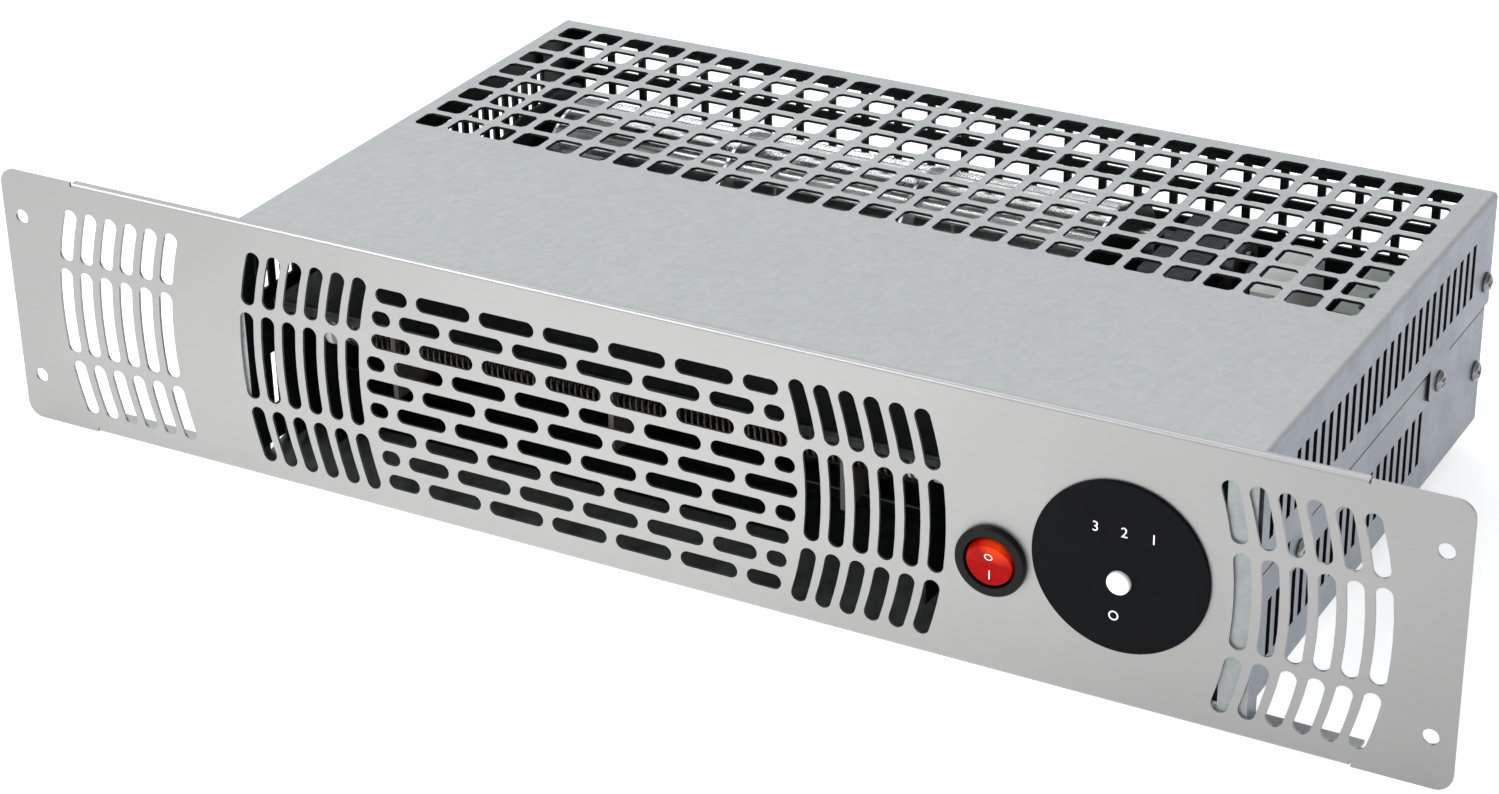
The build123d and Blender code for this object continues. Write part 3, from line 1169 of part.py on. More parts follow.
def board_end(place, y):
    """The last two points of a wire that enters the board's connector from the back."""
    x = connector_way(place)
    bottom = BOARD_BACK + CONNECTOR_SIZE - CONNECTOR_HOLE_DEPTH
    return [(x, y, CONNECTOR_Z), (x, bottom, CONNECTOR_Z)]


def mains_leads():
    """Two wires from the mains terminals forward to the board."""
    chamber = TERMINAL_BASE + TERMINAL_CHAMBER_Z
    start = TERMINAL_X - TERMINAL_WIDTH / 2 + TERMINAL_CHAMBER
    runs = []
    for way, (lane, lift) in enumerate(MAINS_LANES):
        y = terminal_way(way)
        runs.append([(start, y, chamber), (lane, y, chamber), (lane, MAINS_LANE_FRONT, lift),
                     *board_end(4 - way, LEAD_DROPS[1])])
    return wires(runs)


def motor_leads():
    """Two wires from the motor's winding to the board."""
    start = FAN_Z + STATOR_WIDTH / 2 - LEG - WINDING_PLAY
    y = FAN_Y - CORE_REACH
    out = COIL_OVERHANG - WIRE_D
    return wires([[(x, y, start), (x, y, start + MOTOR_LEAD_RISE), *board_end(way, LEAD_DROPS[0])]
                  for way, x in enumerate((STATOR_X - out, STATOR_X + STATOR_STACK + out))])


def heater_leads():
    """Wires between the switch, the cut-out, the element's tabs and the board."""
    blade_end = SWITCH_END + BLADE_TAB_LENGTH
    low, high = ROCKER_Z - BLADE_TAB_PITCH, ROCKER_Z + BLADE_TAB_PITCH
    cutout_end = RIGHT_PLATE + FRAME_SHEET + CUTOUT_LENGTH + ELEMENT_TAB[0]
    tab_end = RIGHT_PLATE + INSULATOR_NECK + ELEMENT_TAB[0]
    cutout_z = CUTOUT_Z + CUTOUT_TAB_Z
    turn = blade_end + SWITCH_LEAD_RUN
    trough = FLOOR + LEAD_ABOVE_FLOOR
    bend_x, bend_y, bend_z = HEATER_LEAD
    return wires([
        [(ROCKER_X, blade_end, low), (ROCKER_X, turn, low), (ROCKER_X, SWITCH_LEAD_Y, trough),
         (connector_way(2), SWITCH_LEAD_Y, trough), *board_end(2, LEAD_DROPS[2])],
        [(cutout_end, CUTOUT_Y, cutout_z), (cutout_end + CUTOUT_LEAD_RUN, CUTOUT_Y, cutout_z),
         (ROCKER_X, turn, high), (ROCKER_X, blade_end, high)],
        [(tab_end, ELEMENT_Y[1], ELEMENT_Z[1]), (tab_end + HEATER_LEAD_RUN, ELEMENT_Y[1], ELEMENT_Z[1]),
         (bend_x, bend_y, bend_z), (connector_way(5), bend_y, bend_z), *board_end(5, LEAD_DROPS[3])],
    ])


PARTS = {
    "fascia_panel": fascia_panel,
    "switch_body": switch_body,
    "rocker_paddle": rocker_paddle,
    "switch_blades": switch_blades,
    "control_disc": control_disc,
    "speed_button": speed_button,
    "tactile_key": tactile_key,
    "control_board": control_board,
    "board_standoffs": board_standoffs,
    "board_screws": board_screws,
    "board_relays": board_relays,
    "board_connector": board_connector,
    "top_cover": top_cover,
    "cover_screws": lambda: screws(cover_screw_places()),
    "base_tray": base_tray,
    "rear_panel": rear_panel,
    "rear_panel_screws": lambda: screws(rear_screw_places()),
    "outlet_apron": outlet_apron,
    "fan_impeller": fan_impeller,
    "fan_stub_shaft": fan_stub_shaft,
    "fan_bearing": fan_bearing,
    "bearing_rubber": bearing_rubber,
    "left_end_plate": left_end_plate,
    "motor_end_plate": motor_end_plate,
    "end_plate_screws": foot_screws,
    "fan_scroll": fan_scroll,
    "air_guide": air_guide,
    "motor_stator": motor_stator,
    "motor_winding": motor_winding,
    "motor_brackets": motor_brackets,
    "motor_bushes": motor_bushes,
    "motor_screws": motor_screws,
    "motor_spacers": motor_spacers,
    "motor_shaft": motor_shaft,
    "motor_rotor": motor_rotor,
    "cooling_fan": cooling_fan,
    "element_frame": element_frame,
    "mica_boards": mica_boards,
    "heating_coils": heating_coils,
    "coil_insulators": coil_insulators,
    "element_terminals": element_terminals,
    "thermal_cutout": thermal_cutout,
    "mains_filter": mains_filter,
    "terminal_block": terminal_block,
    "cable_gland": cable_gland,
    "earth_stud": earth_stud,
    "mains_leads": mains_leads,
    "motor_leads": motor_leads,
    "heater_leads": heater_leads,
}

os.makedirs("parts", exist_ok=True)
for name, make in PARTS.items():
    save(name, make())
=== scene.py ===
import json
import math

import bpy
from mathutils import Euler, Matrix, Vector


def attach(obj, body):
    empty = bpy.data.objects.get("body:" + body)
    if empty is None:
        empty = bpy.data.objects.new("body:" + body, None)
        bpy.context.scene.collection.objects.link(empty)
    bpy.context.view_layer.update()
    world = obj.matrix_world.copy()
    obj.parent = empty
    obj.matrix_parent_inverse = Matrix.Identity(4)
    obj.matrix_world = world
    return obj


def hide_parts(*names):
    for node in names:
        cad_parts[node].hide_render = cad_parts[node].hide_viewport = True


# Plinth heater: finishes, fine detail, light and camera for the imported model.
# Metres, in the model's own frame: X along the fascia, Y back into the plinth, Z up.

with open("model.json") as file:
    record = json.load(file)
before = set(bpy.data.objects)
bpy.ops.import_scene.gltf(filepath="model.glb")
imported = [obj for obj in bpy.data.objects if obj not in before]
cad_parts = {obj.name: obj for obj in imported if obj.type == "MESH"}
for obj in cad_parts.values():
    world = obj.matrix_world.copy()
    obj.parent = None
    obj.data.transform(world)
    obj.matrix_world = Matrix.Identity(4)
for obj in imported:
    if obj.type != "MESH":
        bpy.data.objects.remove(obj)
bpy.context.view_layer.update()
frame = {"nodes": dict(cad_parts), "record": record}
nodes = frame["nodes"]
MM = 0.001

# ---- camera ---------------------------------------------------------------
CAMERA_PLACE = (0.5144, -0.8464, 0.5239)
CAMERA_AZIMUTH = 29.61      # degrees to the right of straight in front
CAMERA_ELEVATION = 26.99
CAMERA_ROLL = -1.15
CAMERA_LENS = 81.19         # on a 36 mm wide sensor


def add_camera():
    data = bpy.data.cameras.new("camera")
    data.lens = CAMERA_LENS
    data.sensor_width = 36.0
    camera = bpy.data.objects.new("camera", data)
    around, up = math.radians(CAMERA_AZIMUTH), math.radians(CAMERA_ELEVATION)
    ahead = Vector((-math.sin(around) * math.cos(up), math.cos(around) * math.cos(up), -math.sin(up)))
    turn = ahead.to_track_quat("-Z", "Y").to_matrix().to_4x4()
    roll = Matrix.Rotation(math.radians(CAMERA_ROLL), 4, "Z")
    camera.matrix_world = Matrix.Translation(CAMERA_PLACE) @ turn @ roll
    bpy.context.scene.collection.objects.link(camera)
    bpy.context.scene.camera = camera


# ---- material nodes -------------------------------------------------------

def node(tree, kind, inputs=None, **settings):
    """Add one shader node, with its settings, values and incoming links."""
    made = tree.nodes.new("ShaderNode" + kind)
    for name, value in settings.items():
        setattr(made, name, value)
    for name, value in (inputs or {}).items():
        if isinstance(value, bpy.types.NodeSocket):
            tree.links.new(value, made.inputs[name])
        else:
            made.inputs[name].default_value = value
    return made


def place(tree, stretch=(1, 1, 1), turn=(0, 0, 0)):
    """Position on the piece in metres, stretched along an axis where the finish runs that way."""
    position = node(tree, "TexCoord").outputs["Object"]
    turned = [math.radians(angle) for angle in turn]
    return node(tree, "Mapping", {"Vector": position, "Scale": stretch, "Rotation": turned}).outputs["Vector"]


def noise(tree, scale, detail=3.0, stretch=(1, 1, 1), distortion=0.0, turn=(0, 0, 0)):
    inputs = {"Vector": place(tree, stretch, turn), "Scale": scale, "Detail": detail,
              "Distortion": distortion}
    return node(tree, "TexNoise", inputs).outputs["Fac"]


def spread(tree, value, low, high, start=0.3, end=0.7):
    """Stretch a noise's middle range to the range low to high."""
    limits = {"Value": value, "From Min": start, "From Max": end, "To Min": low, "To Max": high}
    return node(tree, "MapRange", limits).outputs["Result"]


def tint(tree, value, dark, light, start=0.3, end=0.7):
    """Colour between dark and light by a noise."""
    ramp = node(tree, "ValToRGB", {"Fac": value})
    for stop, position, colour in zip(ramp.color_ramp.elements, (start, end), (dark, light)):
        stop.position = position
        stop.color = (*colour, 1.0)
    return ramp.outputs["Color"]


def maths(tree, operation, *values):
    return node(tree, "Math", dict(enumerate(values)), operation=operation).outputs["Value"]


def times(tree, first, second):
    return maths(tree, "MULTIPLY", first, second)


def plus(tree, first, second):
    return maths(tree, "ADD", first, second)


def vector_maths(tree, operation, *values):
    return node(tree, "VectorMath", dict(enumerate(values)), operation=operation).outputs


def blend(tree, share, first, second):
    """Colour first where share is 0, colour second where it is 1."""
    return node(tree, "MixRGB", {"Fac": share, "Color1": first, "Color2": second}).outputs["Color"]


def raised(tree, height, distance, under=None):
    """Bump of a given depth in metres, on top of another bump if there is one."""
    inputs = {"Height": height, "Distance": distance, "Strength": 1.0}
    if under is not None:
        inputs["Normal"] = under
    return node(tree, "Bump", inputs).outputs["Normal"]


def finish(name, links=None, **constants):
    """A material whose constants sit on the shader's own sockets; links get (tree) and give a socket."""
    made = bpy.data.materials.new(name)
    made.use_nodes = True
    tree = made.node_tree
    shader = tree.nodes["Principled BSDF"]
    for socket, value in constants.items():
        shader.inputs[socket.replace("_", " ")].default_value = value
    for socket, source in (links or {}).items():
        tree.links.new(source(tree), shader.inputs[socket])
    return made


def plain_plastic(name, dark, light, rough, bump=4e-6, scale=900.0, **constants):
    """Moulded plastic: slight mottling, with a fine spark-eroded surface."""
    return finish(name, {
        "Base Color": lambda t: tint(t, noise(t, 60.0), dark, light),
        "Roughness": lambda t: spread(t, noise(t, 140.0), rough - 0.04, rough + 0.05),
        "Normal": lambda t: raised(t, noise(t, scale, 2.0), bump),
    }, **constants)


def plain_metal(name, dark, light, rough, stretch=(1, 1, 1), scale=300.0, bump=3e-6):
    """Bare metal with a turned, drawn or cast grain."""
    return finish(name, {
        "Base Color": lambda t: tint(t, noise(t, scale / 3, stretch=stretch), dark, light),
        "Roughness": lambda t: spread(t, noise(t, scale, stretch=stretch), rough - 0.07, rough + 0.08),
        "Normal": lambda t: raised(t, noise(t, scale, stretch=stretch), bump),
    }, Metallic=1.0)


# ---- the finishes ---------------------------------------------------------
BRUSHING = (0.03, 1.0, 1.0)         # the brush ran along the fascia
FACING_LIMITS = (0.15, 0.7)         # part of a normal along an axis: below is 0, above is 1


def facing(t, axis):
    """Share by which a surface looks along an axis, either way."""
    normal = node(t, "TexCoord").outputs["Normal"]
    along = node(t, "SeparateXYZ", {"Vector": normal}).outputs[axis]
    return spread(t, maths(t, "ABSOLUTE", along), 0.0, 1.0, *FACING_LIMITS)


def brushed_steel():
    """Stainless sheet with long fine strokes, faint handling marks, and a separate painted tone on faces that
    look up or down.
    """
    def strokes(t):
        return noise(t, 3400.0, 3.0, BRUSHING)

    def colour(t):
        cloudy = noise(t, 9.0, 2.0, (0.4, 1, 1))
        mixed = plus(t, times(t, strokes(t), 0.45), times(t, cloudy, 0.55))
        face = tint(t, mixed, (0.283, 0.281, 0.279), (0.316, 0.314, 0.312), 0.35, 0.65)
        # Painted light: faces looking up or down, the top fold and lip, take a lighter flat grey set for how
        # light falls on them.
        return blend(t, facing(t, "Z"), face, (0.42, 0.425, 0.425, 1.0))

    def roughness(t):
        return plus(t, spread(t, strokes(t), 0.38, 0.46), spread(t, noise(t, 14.0), -0.03, 0.03))

    return finish("stainless_brushed", {
        "Base Color": colour,
        "Roughness": roughness,
        "Normal": lambda t: raised(t, strokes(t), 1.4e-6),
        "Tangent": lambda t: node(t, "Tangent", direction_type="RADIAL", axis="Z").outputs["Tangent"],
    }, Metallic=0.9, Anisotropic=0.45)


CASING_LOW = (-170.5 * MM, 0.3 * MM, -39.0 * MM)      # a box that leaves the casing's walls out
CASING_HIGH = (207.5 * MM, 218.0 * MM, 47.0 * MM)
TO_OUTSIDE = 2.1 * MM       # from that box to just beyond the walls
TINY = 2e-5                 # the least way out along a face's normal that counts as outward


def inside_casing_shade_mask(t):
    """1 on sheet faces inside the casing and in the holes of its walls, 0 on its outer faces: where the
    painted shade goes.
    """
    position = place(t)
    raised_to_low = vector_maths(t, "MAXIMUM", position, CASING_LOW)["Vector"]
    nearest = vector_maths(t, "MINIMUM", raised_to_low, CASING_HIGH)["Vector"]
    outward = vector_maths(t, "SUBTRACT", position, nearest)["Vector"]
    normal = node(t, "TexCoord").outputs["Normal"]
    towards = vector_maths(t, "DOT_PRODUCT", outward, normal)["Value"]
    away = vector_maths(t, "LENGTH", outward)["Value"]
    return times(t, maths(t, "LESS_THAN", towards, TINY), maths(t, "LESS_THAN", away, TO_OUTSIDE))


TRAY_FACES = (18.5 * MM, 189.8 * MM)    # middle of the tray, and from there to its outer faces
ON_TRAY = 0.1 * MM                      # how near to those faces counts as on them
SEAM_SHADOW = (5.35 * MM, 1.15 * MM)           # height of the painted shadow line's middle, and half its width
SEAM_SHADOW_COLOUR = (0.006, 0.006, 0.007, 1.0)


def seam_shadow_mask(t):
    """1 along the tray's sides just below the cover's edges, where a shadow line is painted."""
    axes = node(t, "SeparateXYZ", {"Vector": place(t)}).outputs
    middle, to_face = TRAY_FACES
    aside = maths(t, "ABSOLUTE", maths(t, "SUBTRACT", axes["X"], middle))
    on_face = maths(t, "COMPARE", aside, to_face, ON_TRAY)
    return times(t, on_face, maths(t, "COMPARE", axes["Z"], *SEAM_SHADOW))


def galvanised():
    """Zinc-coated sheet: small crystals, a rolled grain, cloudiness and a few scuffs, with painted light and
    shade: tones by the way a face looks, a painted shadow line under the cover's edges, and painted dark
    shade inside.
    """
    def crystals(t):
        where = place(t, (1.0, 0.55, 1.0))
        return node(t, "TexVoronoi", {"Vector": where, "Scale": 520.0}).outputs["Color"]

    def grain(t):
        return noise(t, 700.0, 3.0, (0.25, 1.0, 1.0))

    def scuffs(t):
        marks = noise(t, 42.0, 5.0, (1.0, 3.5, 1.0), 1.2, (0, 0, 35))
        return spread(t, marks, 0.0, 1.0, 0.66, 0.74)

    def colour(t):
        grey = node(t, "RGBToBW", {"Color": crystals(t)}).outputs["Val"]
        mixed = plus(t, times(t, grey, 0.30), times(t, grain(t), 0.52))
        mixed = plus(t, mixed, times(t, noise(t, 7.0), 0.18))
        # Lit and shaded copies of the zinc, painted light and shade by the way a face looks: faces looking up
        # or down take the lighter tone, faces looking along X a darker bluish one, and faces looking along Y
        # a darker grey one.
        level = tint(t, mixed, (0.398, 0.418, 0.424), (0.456, 0.477, 0.483), 0.3, 0.7)
        sides = tint(t, mixed, (0.232, 0.250, 0.292), (0.272, 0.294, 0.341), 0.3, 0.7)
        ends = tint(t, mixed, (0.240, 0.256, 0.260), (0.280, 0.297, 0.302), 0.3, 0.7)
        outer = blend(t, facing(t, "Z"), blend(t, facing(t, "X"), ends, sides), level)
        # Painted shadow: a near-black line on the tray just below the cover's edges.
        outer = blend(t, seam_shadow_mask(t), outer, SEAM_SHADOW_COLOUR)
        # Painted shade: near-black zinc on faces inside the casing and on the walls of its holes.
        inner = tint(t, mixed, (0.014, 0.017, 0.016), (0.032, 0.037, 0.035), 0.3, 0.7)
        return blend(t, inside_casing_shade_mask(t), outer, inner)

    def roughness(t):
        base = spread(t, noise(t, 60.0, 4.0), 0.36, 0.50)
        return plus(t, base, times(t, scuffs(t), 0.12))

    return finish("galvanised_zinc", {
        "Base Color": colour,
        "Roughness": roughness,
        "Normal": lambda t: raised(t, grain(t), 1.6e-6, under=raised(t, noise(t, 9.0), 3e-5)),
    }, Metallic=0.7, Specular_IOR_Level=0.2)


def shaded_sheet(name, dark, light):
    """The same zinc where it never sees light: grey-green and dull, its darkness painted shade."""
    return finish(name, {
        "Base Color": lambda t: tint(t, noise(t, 240.0, 4.0), dark, light),
        "Roughness": lambda t: spread(t, noise(t, 60.0, 4.0), 0.34, 0.5),
        "Normal": lambda t: raised(t, noise(t, 700.0), 3e-6),
    }, Metallic=0.7, Specular_IOR_Level=0.2)


LENS_PAINTED_HIGHLIGHT = (124.5 * MM, -3.0 * MM, -2.5 * MM)      # middle of the painted highlight, where the lens is palest
LENS_PAINTED_HIGHLIGHT_RADII = (0.5 * MM, 7.0 * MM)              # palest inside the first, deepest red past the second


def red_lens():
    """Translucent red moulding with a painted highlight: paler towards the upper corner."""
    def painted_highlight(t):
        # Painted highlight: the colour turns pale orange near one point of the lens.
        away = vector_maths(t, "DISTANCE", place(t), LENS_PAINTED_HIGHLIGHT)["Value"]
        return plus(t, spread(t, away, 1.0, 0.0, *LENS_PAINTED_HIGHLIGHT_RADII), spread(t, noise(t, 200.0), -0.1, 0.1))
    return finish("rocker_red_lens", {
        "Base Color": lambda t: tint(t, painted_highlight(t), (0.30, 0.0014, 0.001), (0.84, 0.050, 0.005), 0.0, 1.0),
        "Roughness": lambda t: spread(t, noise(t, 500.0), 0.10, 0.20),
        "Normal": lambda t: raised(t, noise(t, 900.0), 2e-6),
    }, Subsurface_Weight=0.3, Subsurface_Scale=0.002, Subsurface_Radius=(1.0, 0.12, 0.08),
        Specular_IOR_Level=0.05)


def laminations():
    """Stacked steel sheets: fine grooves across the stack, with a thin rust-proof varnish."""
    def sheets(t):
        where = place(t, (1.0, 0.0, 0.0))
        return node(t, "TexWave", {"Vector": where, "Scale": 320.0, "Distortion": 0.4},
                    wave_type="BANDS", bands_direction="X").outputs["Fac"]
    return finish("stator_laminations", {
        "Base Color": lambda t: tint(t, sheets(t), (0.03, 0.03, 0.032), (0.10, 0.10, 0.105)),
        "Roughness": lambda t: spread(t, noise(t, 220.0), 0.38, 0.6),
        "Normal": lambda t: raised(t, sheets(t), 6e-5),
    }, Metallic=0.8)


def wound_tape():
    """Glass-cloth tape over the winding, with overlapping turns."""
    def turns(t):
        return node(t, "TexWave", {"Vector": place(t, (1.0, 1.0, 0.12)), "Scale": 52.0, "Distortion": 1.4,
                                   "Detail": 2.0}, wave_type="BANDS", bands_direction="Y",
                    wave_profile="SAW").outputs["Fac"]
    return finish("winding_tape", {
        "Base Color": lambda t: tint(t, noise(t, 180.0), (0.78, 0.78, 0.76), (0.90, 0.90, 0.88)),
        "Roughness": lambda t: spread(t, noise(t, 400.0), 0.55, 0.75),
        "Normal": lambda t: raised(t, turns(t), 1.5e-4, under=raised(t, noise(t, 1800.0), 2e-5)),
    })


def mica_sheet():
    """Pressed mica: silvery flakes in a brown binder."""
    def flakes(t):
        return node(t, "TexVoronoi", {"Vector": place(t), "Scale": 700.0}).outputs["Distance"]
    return finish("mica_board", {
        "Base Color": lambda t: tint(t, flakes(t), (0.030, 0.026, 0.020), (0.075, 0.068, 0.054), 0.1, 0.6),
        "Roughness": lambda t: spread(t, flakes(t), 0.28, 0.6, 0.0, 0.6),
        "Normal": lambda t: raised(t, flakes(t), 1.5e-5),
    }, Specular_IOR_Level=0.6)


def hot_wire():
    """Resistance wire, oxidised dark with straw and blue patches."""
    return finish("resistance_wire", {
        "Base Color": lambda t: tint(t, noise(t, 260.0), (0.035, 0.030, 0.030), (0.11, 0.095, 0.085)),
        "Roughness": lambda t: spread(t, noise(t, 900.0), 0.3, 0.5),
    }, Metallic=0.9)


def circuit_board():
    """Solder mask over copper tracks, which show as paler lines."""
    def tracks(t):
        where = place(t, (1.0, 0.0, 1.0))
        return node(t, "TexBrick", {"Vector": where, "Scale": 90.0, "Mortar Size": 0.05,
                                    "Brick Width": 0.9, "Row Height": 0.35}, offset=0.37).outputs["Fac"]
    return finish("circuit_board", {
        "Base Color": lambda t: tint(t, tracks(t), (0.02, 0.16, 0.06), (0.06, 0.30, 0.12)),
        "Roughness": lambda t: spread(t, noise(t, 300.0), 0.26, 0.36),
        "Normal": lambda t: raised(t, tracks(t), 3e-5),
    }, Coat_Weight=0.3)


FINISHES = {
    "fascia_steel": brushed_steel(),
    "galvanised_sheet": galvanised(),
    "bright_screw": plain_metal("zinc_plate", (0.13, 0.135, 0.14), (0.36, 0.36, 0.36), 0.2, scale=500.0),
    "switch_black": plain_plastic("switch_moulding", (0.005, 0.0055, 0.005), (0.008, 0.009, 0.0085), 0.34,
                                  Specular_IOR_Level=0.09),
    "rocker_red": red_lens(),
    "disc_black": plain_plastic("disc_satin", (0.0035, 0.0036, 0.0042), (0.0048, 0.005, 0.0057), 0.42, 3e-6,
                                Specular_IOR_Level=0.04),
    "button_white": plain_plastic("button_white", (0.80, 0.81, 0.81), (0.88, 0.88, 0.87), 0.25,
                                  Coat_Weight=0.3),
    "relay_black": plain_plastic("relay_black", (0.012, 0.013, 0.015), (0.03, 0.031, 0.034), 0.4),
    "board_green": circuit_board(),
    "connector_green": plain_plastic("connector_green", (0.02, 0.26, 0.10), (0.04, 0.36, 0.15), 0.4),
    "impeller_aluminium": plain_metal("impeller_aluminium", (0.88, 0.89, 0.89), (0.95, 0.95, 0.95), 0.21,
                                      (0.05, 1, 1), 120.0, 1e-8),
    "shaft_steel": plain_metal("ground_shaft", (0.42, 0.43, 0.44), (0.64, 0.65, 0.66), 0.22, (1, 0.05, 0.05),
                               1500.0),
    "bush_bronze": plain_metal("sintered_bronze", (0.30, 0.19, 0.09), (0.52, 0.35, 0.18), 0.5, scale=1500.0,
                               bump=1.5e-5),
    "black_rubber": plain_plastic("bearing_rubber", (0.010, 0.010, 0.010), (0.022, 0.022, 0.022), 0.72,
                                  1.5e-5, 1500.0),
    "lamination_steel": laminations(),
    "coil_tape": wound_tape(),
    "bracket_casting": plain_metal("die_casting", (0.07, 0.07, 0.072), (0.12, 0.12, 0.122), 0.48, scale=700.0,
                                   bump=2.5e-5),
    "cooling_fan_grey": plain_plastic("cooling_fan_plastic", (0.05, 0.05, 0.055), (0.09, 0.09, 0.10), 0.45),
    "mica": mica_sheet(),
    "coil_wire": hot_wire(),
    "ceramic": plain_plastic("steatite", (0.72, 0.70, 0.64), (0.86, 0.84, 0.79), 0.62, 1.2e-5, 1200.0),
    "cutout_black": plain_plastic("cutout_phenolic", (0.015, 0.014, 0.013), (0.04, 0.037, 0.034), 0.35),
    "filter_white": plain_plastic("filter_case", (0.70, 0.71, 0.70), (0.82, 0.82, 0.81), 0.38),
    "terminal_grey": plain_plastic("terminal_moulding", (0.27, 0.32, 0.30), (0.40, 0.44, 0.42), 0.45),
    "gland_black": plain_plastic("gland_nylon", (0.012, 0.012, 0.014), (0.03, 0.03, 0.034), 0.48, 8e-6),
    "earth_brass": plain_metal("earth_brass", (0.55, 0.38, 0.13), (0.78, 0.60, 0.26), 0.25, scale=700.0),
    "lead_red": plain_plastic("lead_red", (0.42, 0.06, 0.05), (0.56, 0.11, 0.09), 0.4, Coat_Weight=0.15),
    "lead_blue": plain_plastic("lead_blue", (0.03, 0.09, 0.34), (0.07, 0.17, 0.50), 0.4, Coat_Weight=0.15),
    "lead_white": plain_plastic("lead_white", (0.66, 0.65, 0.61), (0.80, 0.79, 0.75), 0.45),
}


INNER_SHEETS = ("left_end_plate", "motor_end_plate", "fan_scroll", "air_guide", "element_frame")


def dress_nodes():
    """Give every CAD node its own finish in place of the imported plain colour."""
    # Painted shade: the sheets inside the casing take near-black zinc, and the outlet apron a darker
    # grey-green.
    inside = shaded_sheet("galvanised_inside_painted_shade", (0.014, 0.017, 0.016), (0.034, 0.039, 0.037))
    own = dict.fromkeys(INNER_SHEETS, inside)
    own["outlet_apron"] = shaded_sheet("galvanised_outlet_painted_shade", (0.125, 0.136, 0.128), (0.175, 0.187, 0.178))
    for part in frame["record"]["subparts"]:
        materials = nodes[part["node"]].data.materials
        materials.clear()
        materials.append(own.get(part["node"], FINISHES[part["material_slot"]]))


# ---- mesh pieces ----------------------------------------------------------

def piece(name, points, faces, slot, body="root", smooth=True):
    """A mesh piece with its finish, riding on a body."""
    mesh = bpy.data.meshes.new(name)
    mesh.from_pydata(points, [], faces)
    mesh.validate()
    for polygon in mesh.polygons:
        polygon.use_smooth = smooth
    mesh.materials.append(FINISHES[slot])
    made = bpy.data.objects.new(name, mesh)
    bpy.context.scene.collection.objects.link(made)
    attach(made, body)
    return made


def grid_faces(rows, columns, first=0):
    """Quads between neighbouring closed rows of points."""
    faces = []
    for row in range(rows - 1):
        for column in range(columns):
            after = (column + 1) % columns
            low, high = first + row * columns, first + (row + 1) * columns
            faces.append((low + column, low + after, high + after, high + column))
    return faces


# ---- heating coils --------------------------------------------------------
COIL_ENDS = (-142.5 * MM, 89.0 * MM)
COIL_AXES = ((18.0, 6.0), (34.0, 0.0), (50.0, -6.0))    # Y and Z, millimetres
COIL_R = 4.05 * MM
COIL_WIRE_R = 0.45 * MM
COIL_PITCH = 2.4 * MM
COIL_STEPS = 20             # along one turn
COIL_SIDES = 7              # round the wire


def heating_coils():
    """Three open helices of round wire between the insulators."""
    left, right = COIL_ENDS[0] + COIL_WIRE_R, COIL_ENDS[1] - COIL_WIRE_R
    turns = round((right - left) / COIL_PITCH)
    rows = turns * COIL_STEPS + 1
    points, faces = [], []
    for y, z in COIL_AXES:
        first = len(points)
        for row in range(rows):
            angle = 2 * math.pi * row / COIL_STEPS
            x = left + (right - left) * row / (rows - 1)
            for side in range(COIL_SIDES):
                round_wire = 2 * math.pi * side / COIL_SIDES
                radius = COIL_R + COIL_WIRE_R * math.cos(round_wire)
                points.append((x + COIL_WIRE_R * math.sin(round_wire), y * MM + radius * math.cos(angle),
                               z * MM + radius * math.sin(angle)))
        faces += grid_faces(rows, COIL_SIDES, first)
        faces.append(tuple(first + side for side in reversed(range(COIL_SIDES))))
        faces.append(tuple(first + (rows - 1) * COIL_SIDES + side for side in range(COIL_SIDES)))
    coils = piece("resistance_coils", points, faces, "coil_wire")
    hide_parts("heating_coils")


# ---- screws ---------------------------------------------------------------
SCREW_SEGMENTS = 48
# Painted shade: a near-black finish for the deep faces of each cross recess.
RECESS_SHADE = plain_metal("recess_painted_shade", (0.02, 0.02, 0.02), (0.05, 0.05, 0.05), 0.5)
SCREW_HEAD_R = 3.75 * MM
SCREW_HEAD = 2.2 * MM
SCREW_R = 2.0 * MM
SCREW_LENGTH = 8.0 * MM
RECESS_ARM = 2.1 * MM       # cross recess, from the middle to an arm's end
RECESS_WIDTH = 0.52 * MM
RECESS_DEPTH = 1.3 * MM
RECESS_END_SLOPE = 0.45 * MM
RECESS_MOUTH = 1.35         # half the cross's width at the top, in RECESS_WIDTH
RECESS_FLANK = 0.7          # how far its sides slope in, in RECESS_WIDTH
HEAD_RINGS = 14
HEAD_DOME = 0.62            # share of the head's height that its domed top takes up
THREAD_PITCH = 1.4 * MM
THREAD_ROOT = 0.74          # share of the radius
SHANK_TIP_R = 0.2 * MM
FIRST_TURN, NEXT_TURN = 0.35, 0.9   # radians: the first screw's recess, and each one's from the last
SCREW_LEFT, SCREW_RIGHT = -172.5 * MM, 209.5 * MM
COVER_SCREWS = [(x, y * MM, z * MM) for x in (SCREW_LEFT, SCREW_RIGHT)
                for y, z in ((36.0, -1.0), (168.0, -1.0), (214.0, 17.0))]
TO_TRAY = 1.2 * MM          # from the cover's outer face in to the tray's
REAR_SCREWS = [(x, 214.0 * MM, -18.0 * MM) for x in (SCREW_LEFT + TO_TRAY, SCREW_RIGHT - TO_TRAY)]


def recess_depth(radius, angle):
    """Depth of the cross recess at a place on the head."""
    u, v = abs(radius * math.cos(angle)), abs(radius * math.sin(angle))
    along, across = max(u, v), min(u, v)
    end = min(1.0, max(0.0, (RECESS_ARM - along) / RECESS_END_SLOPE))
    side = min(1.0, max(0.0, (RECESS_WIDTH * RECESS_MOUTH - across) / (RECESS_WIDTH * RECESS_FLANK)))
    return RECESS_DEPTH * end * side


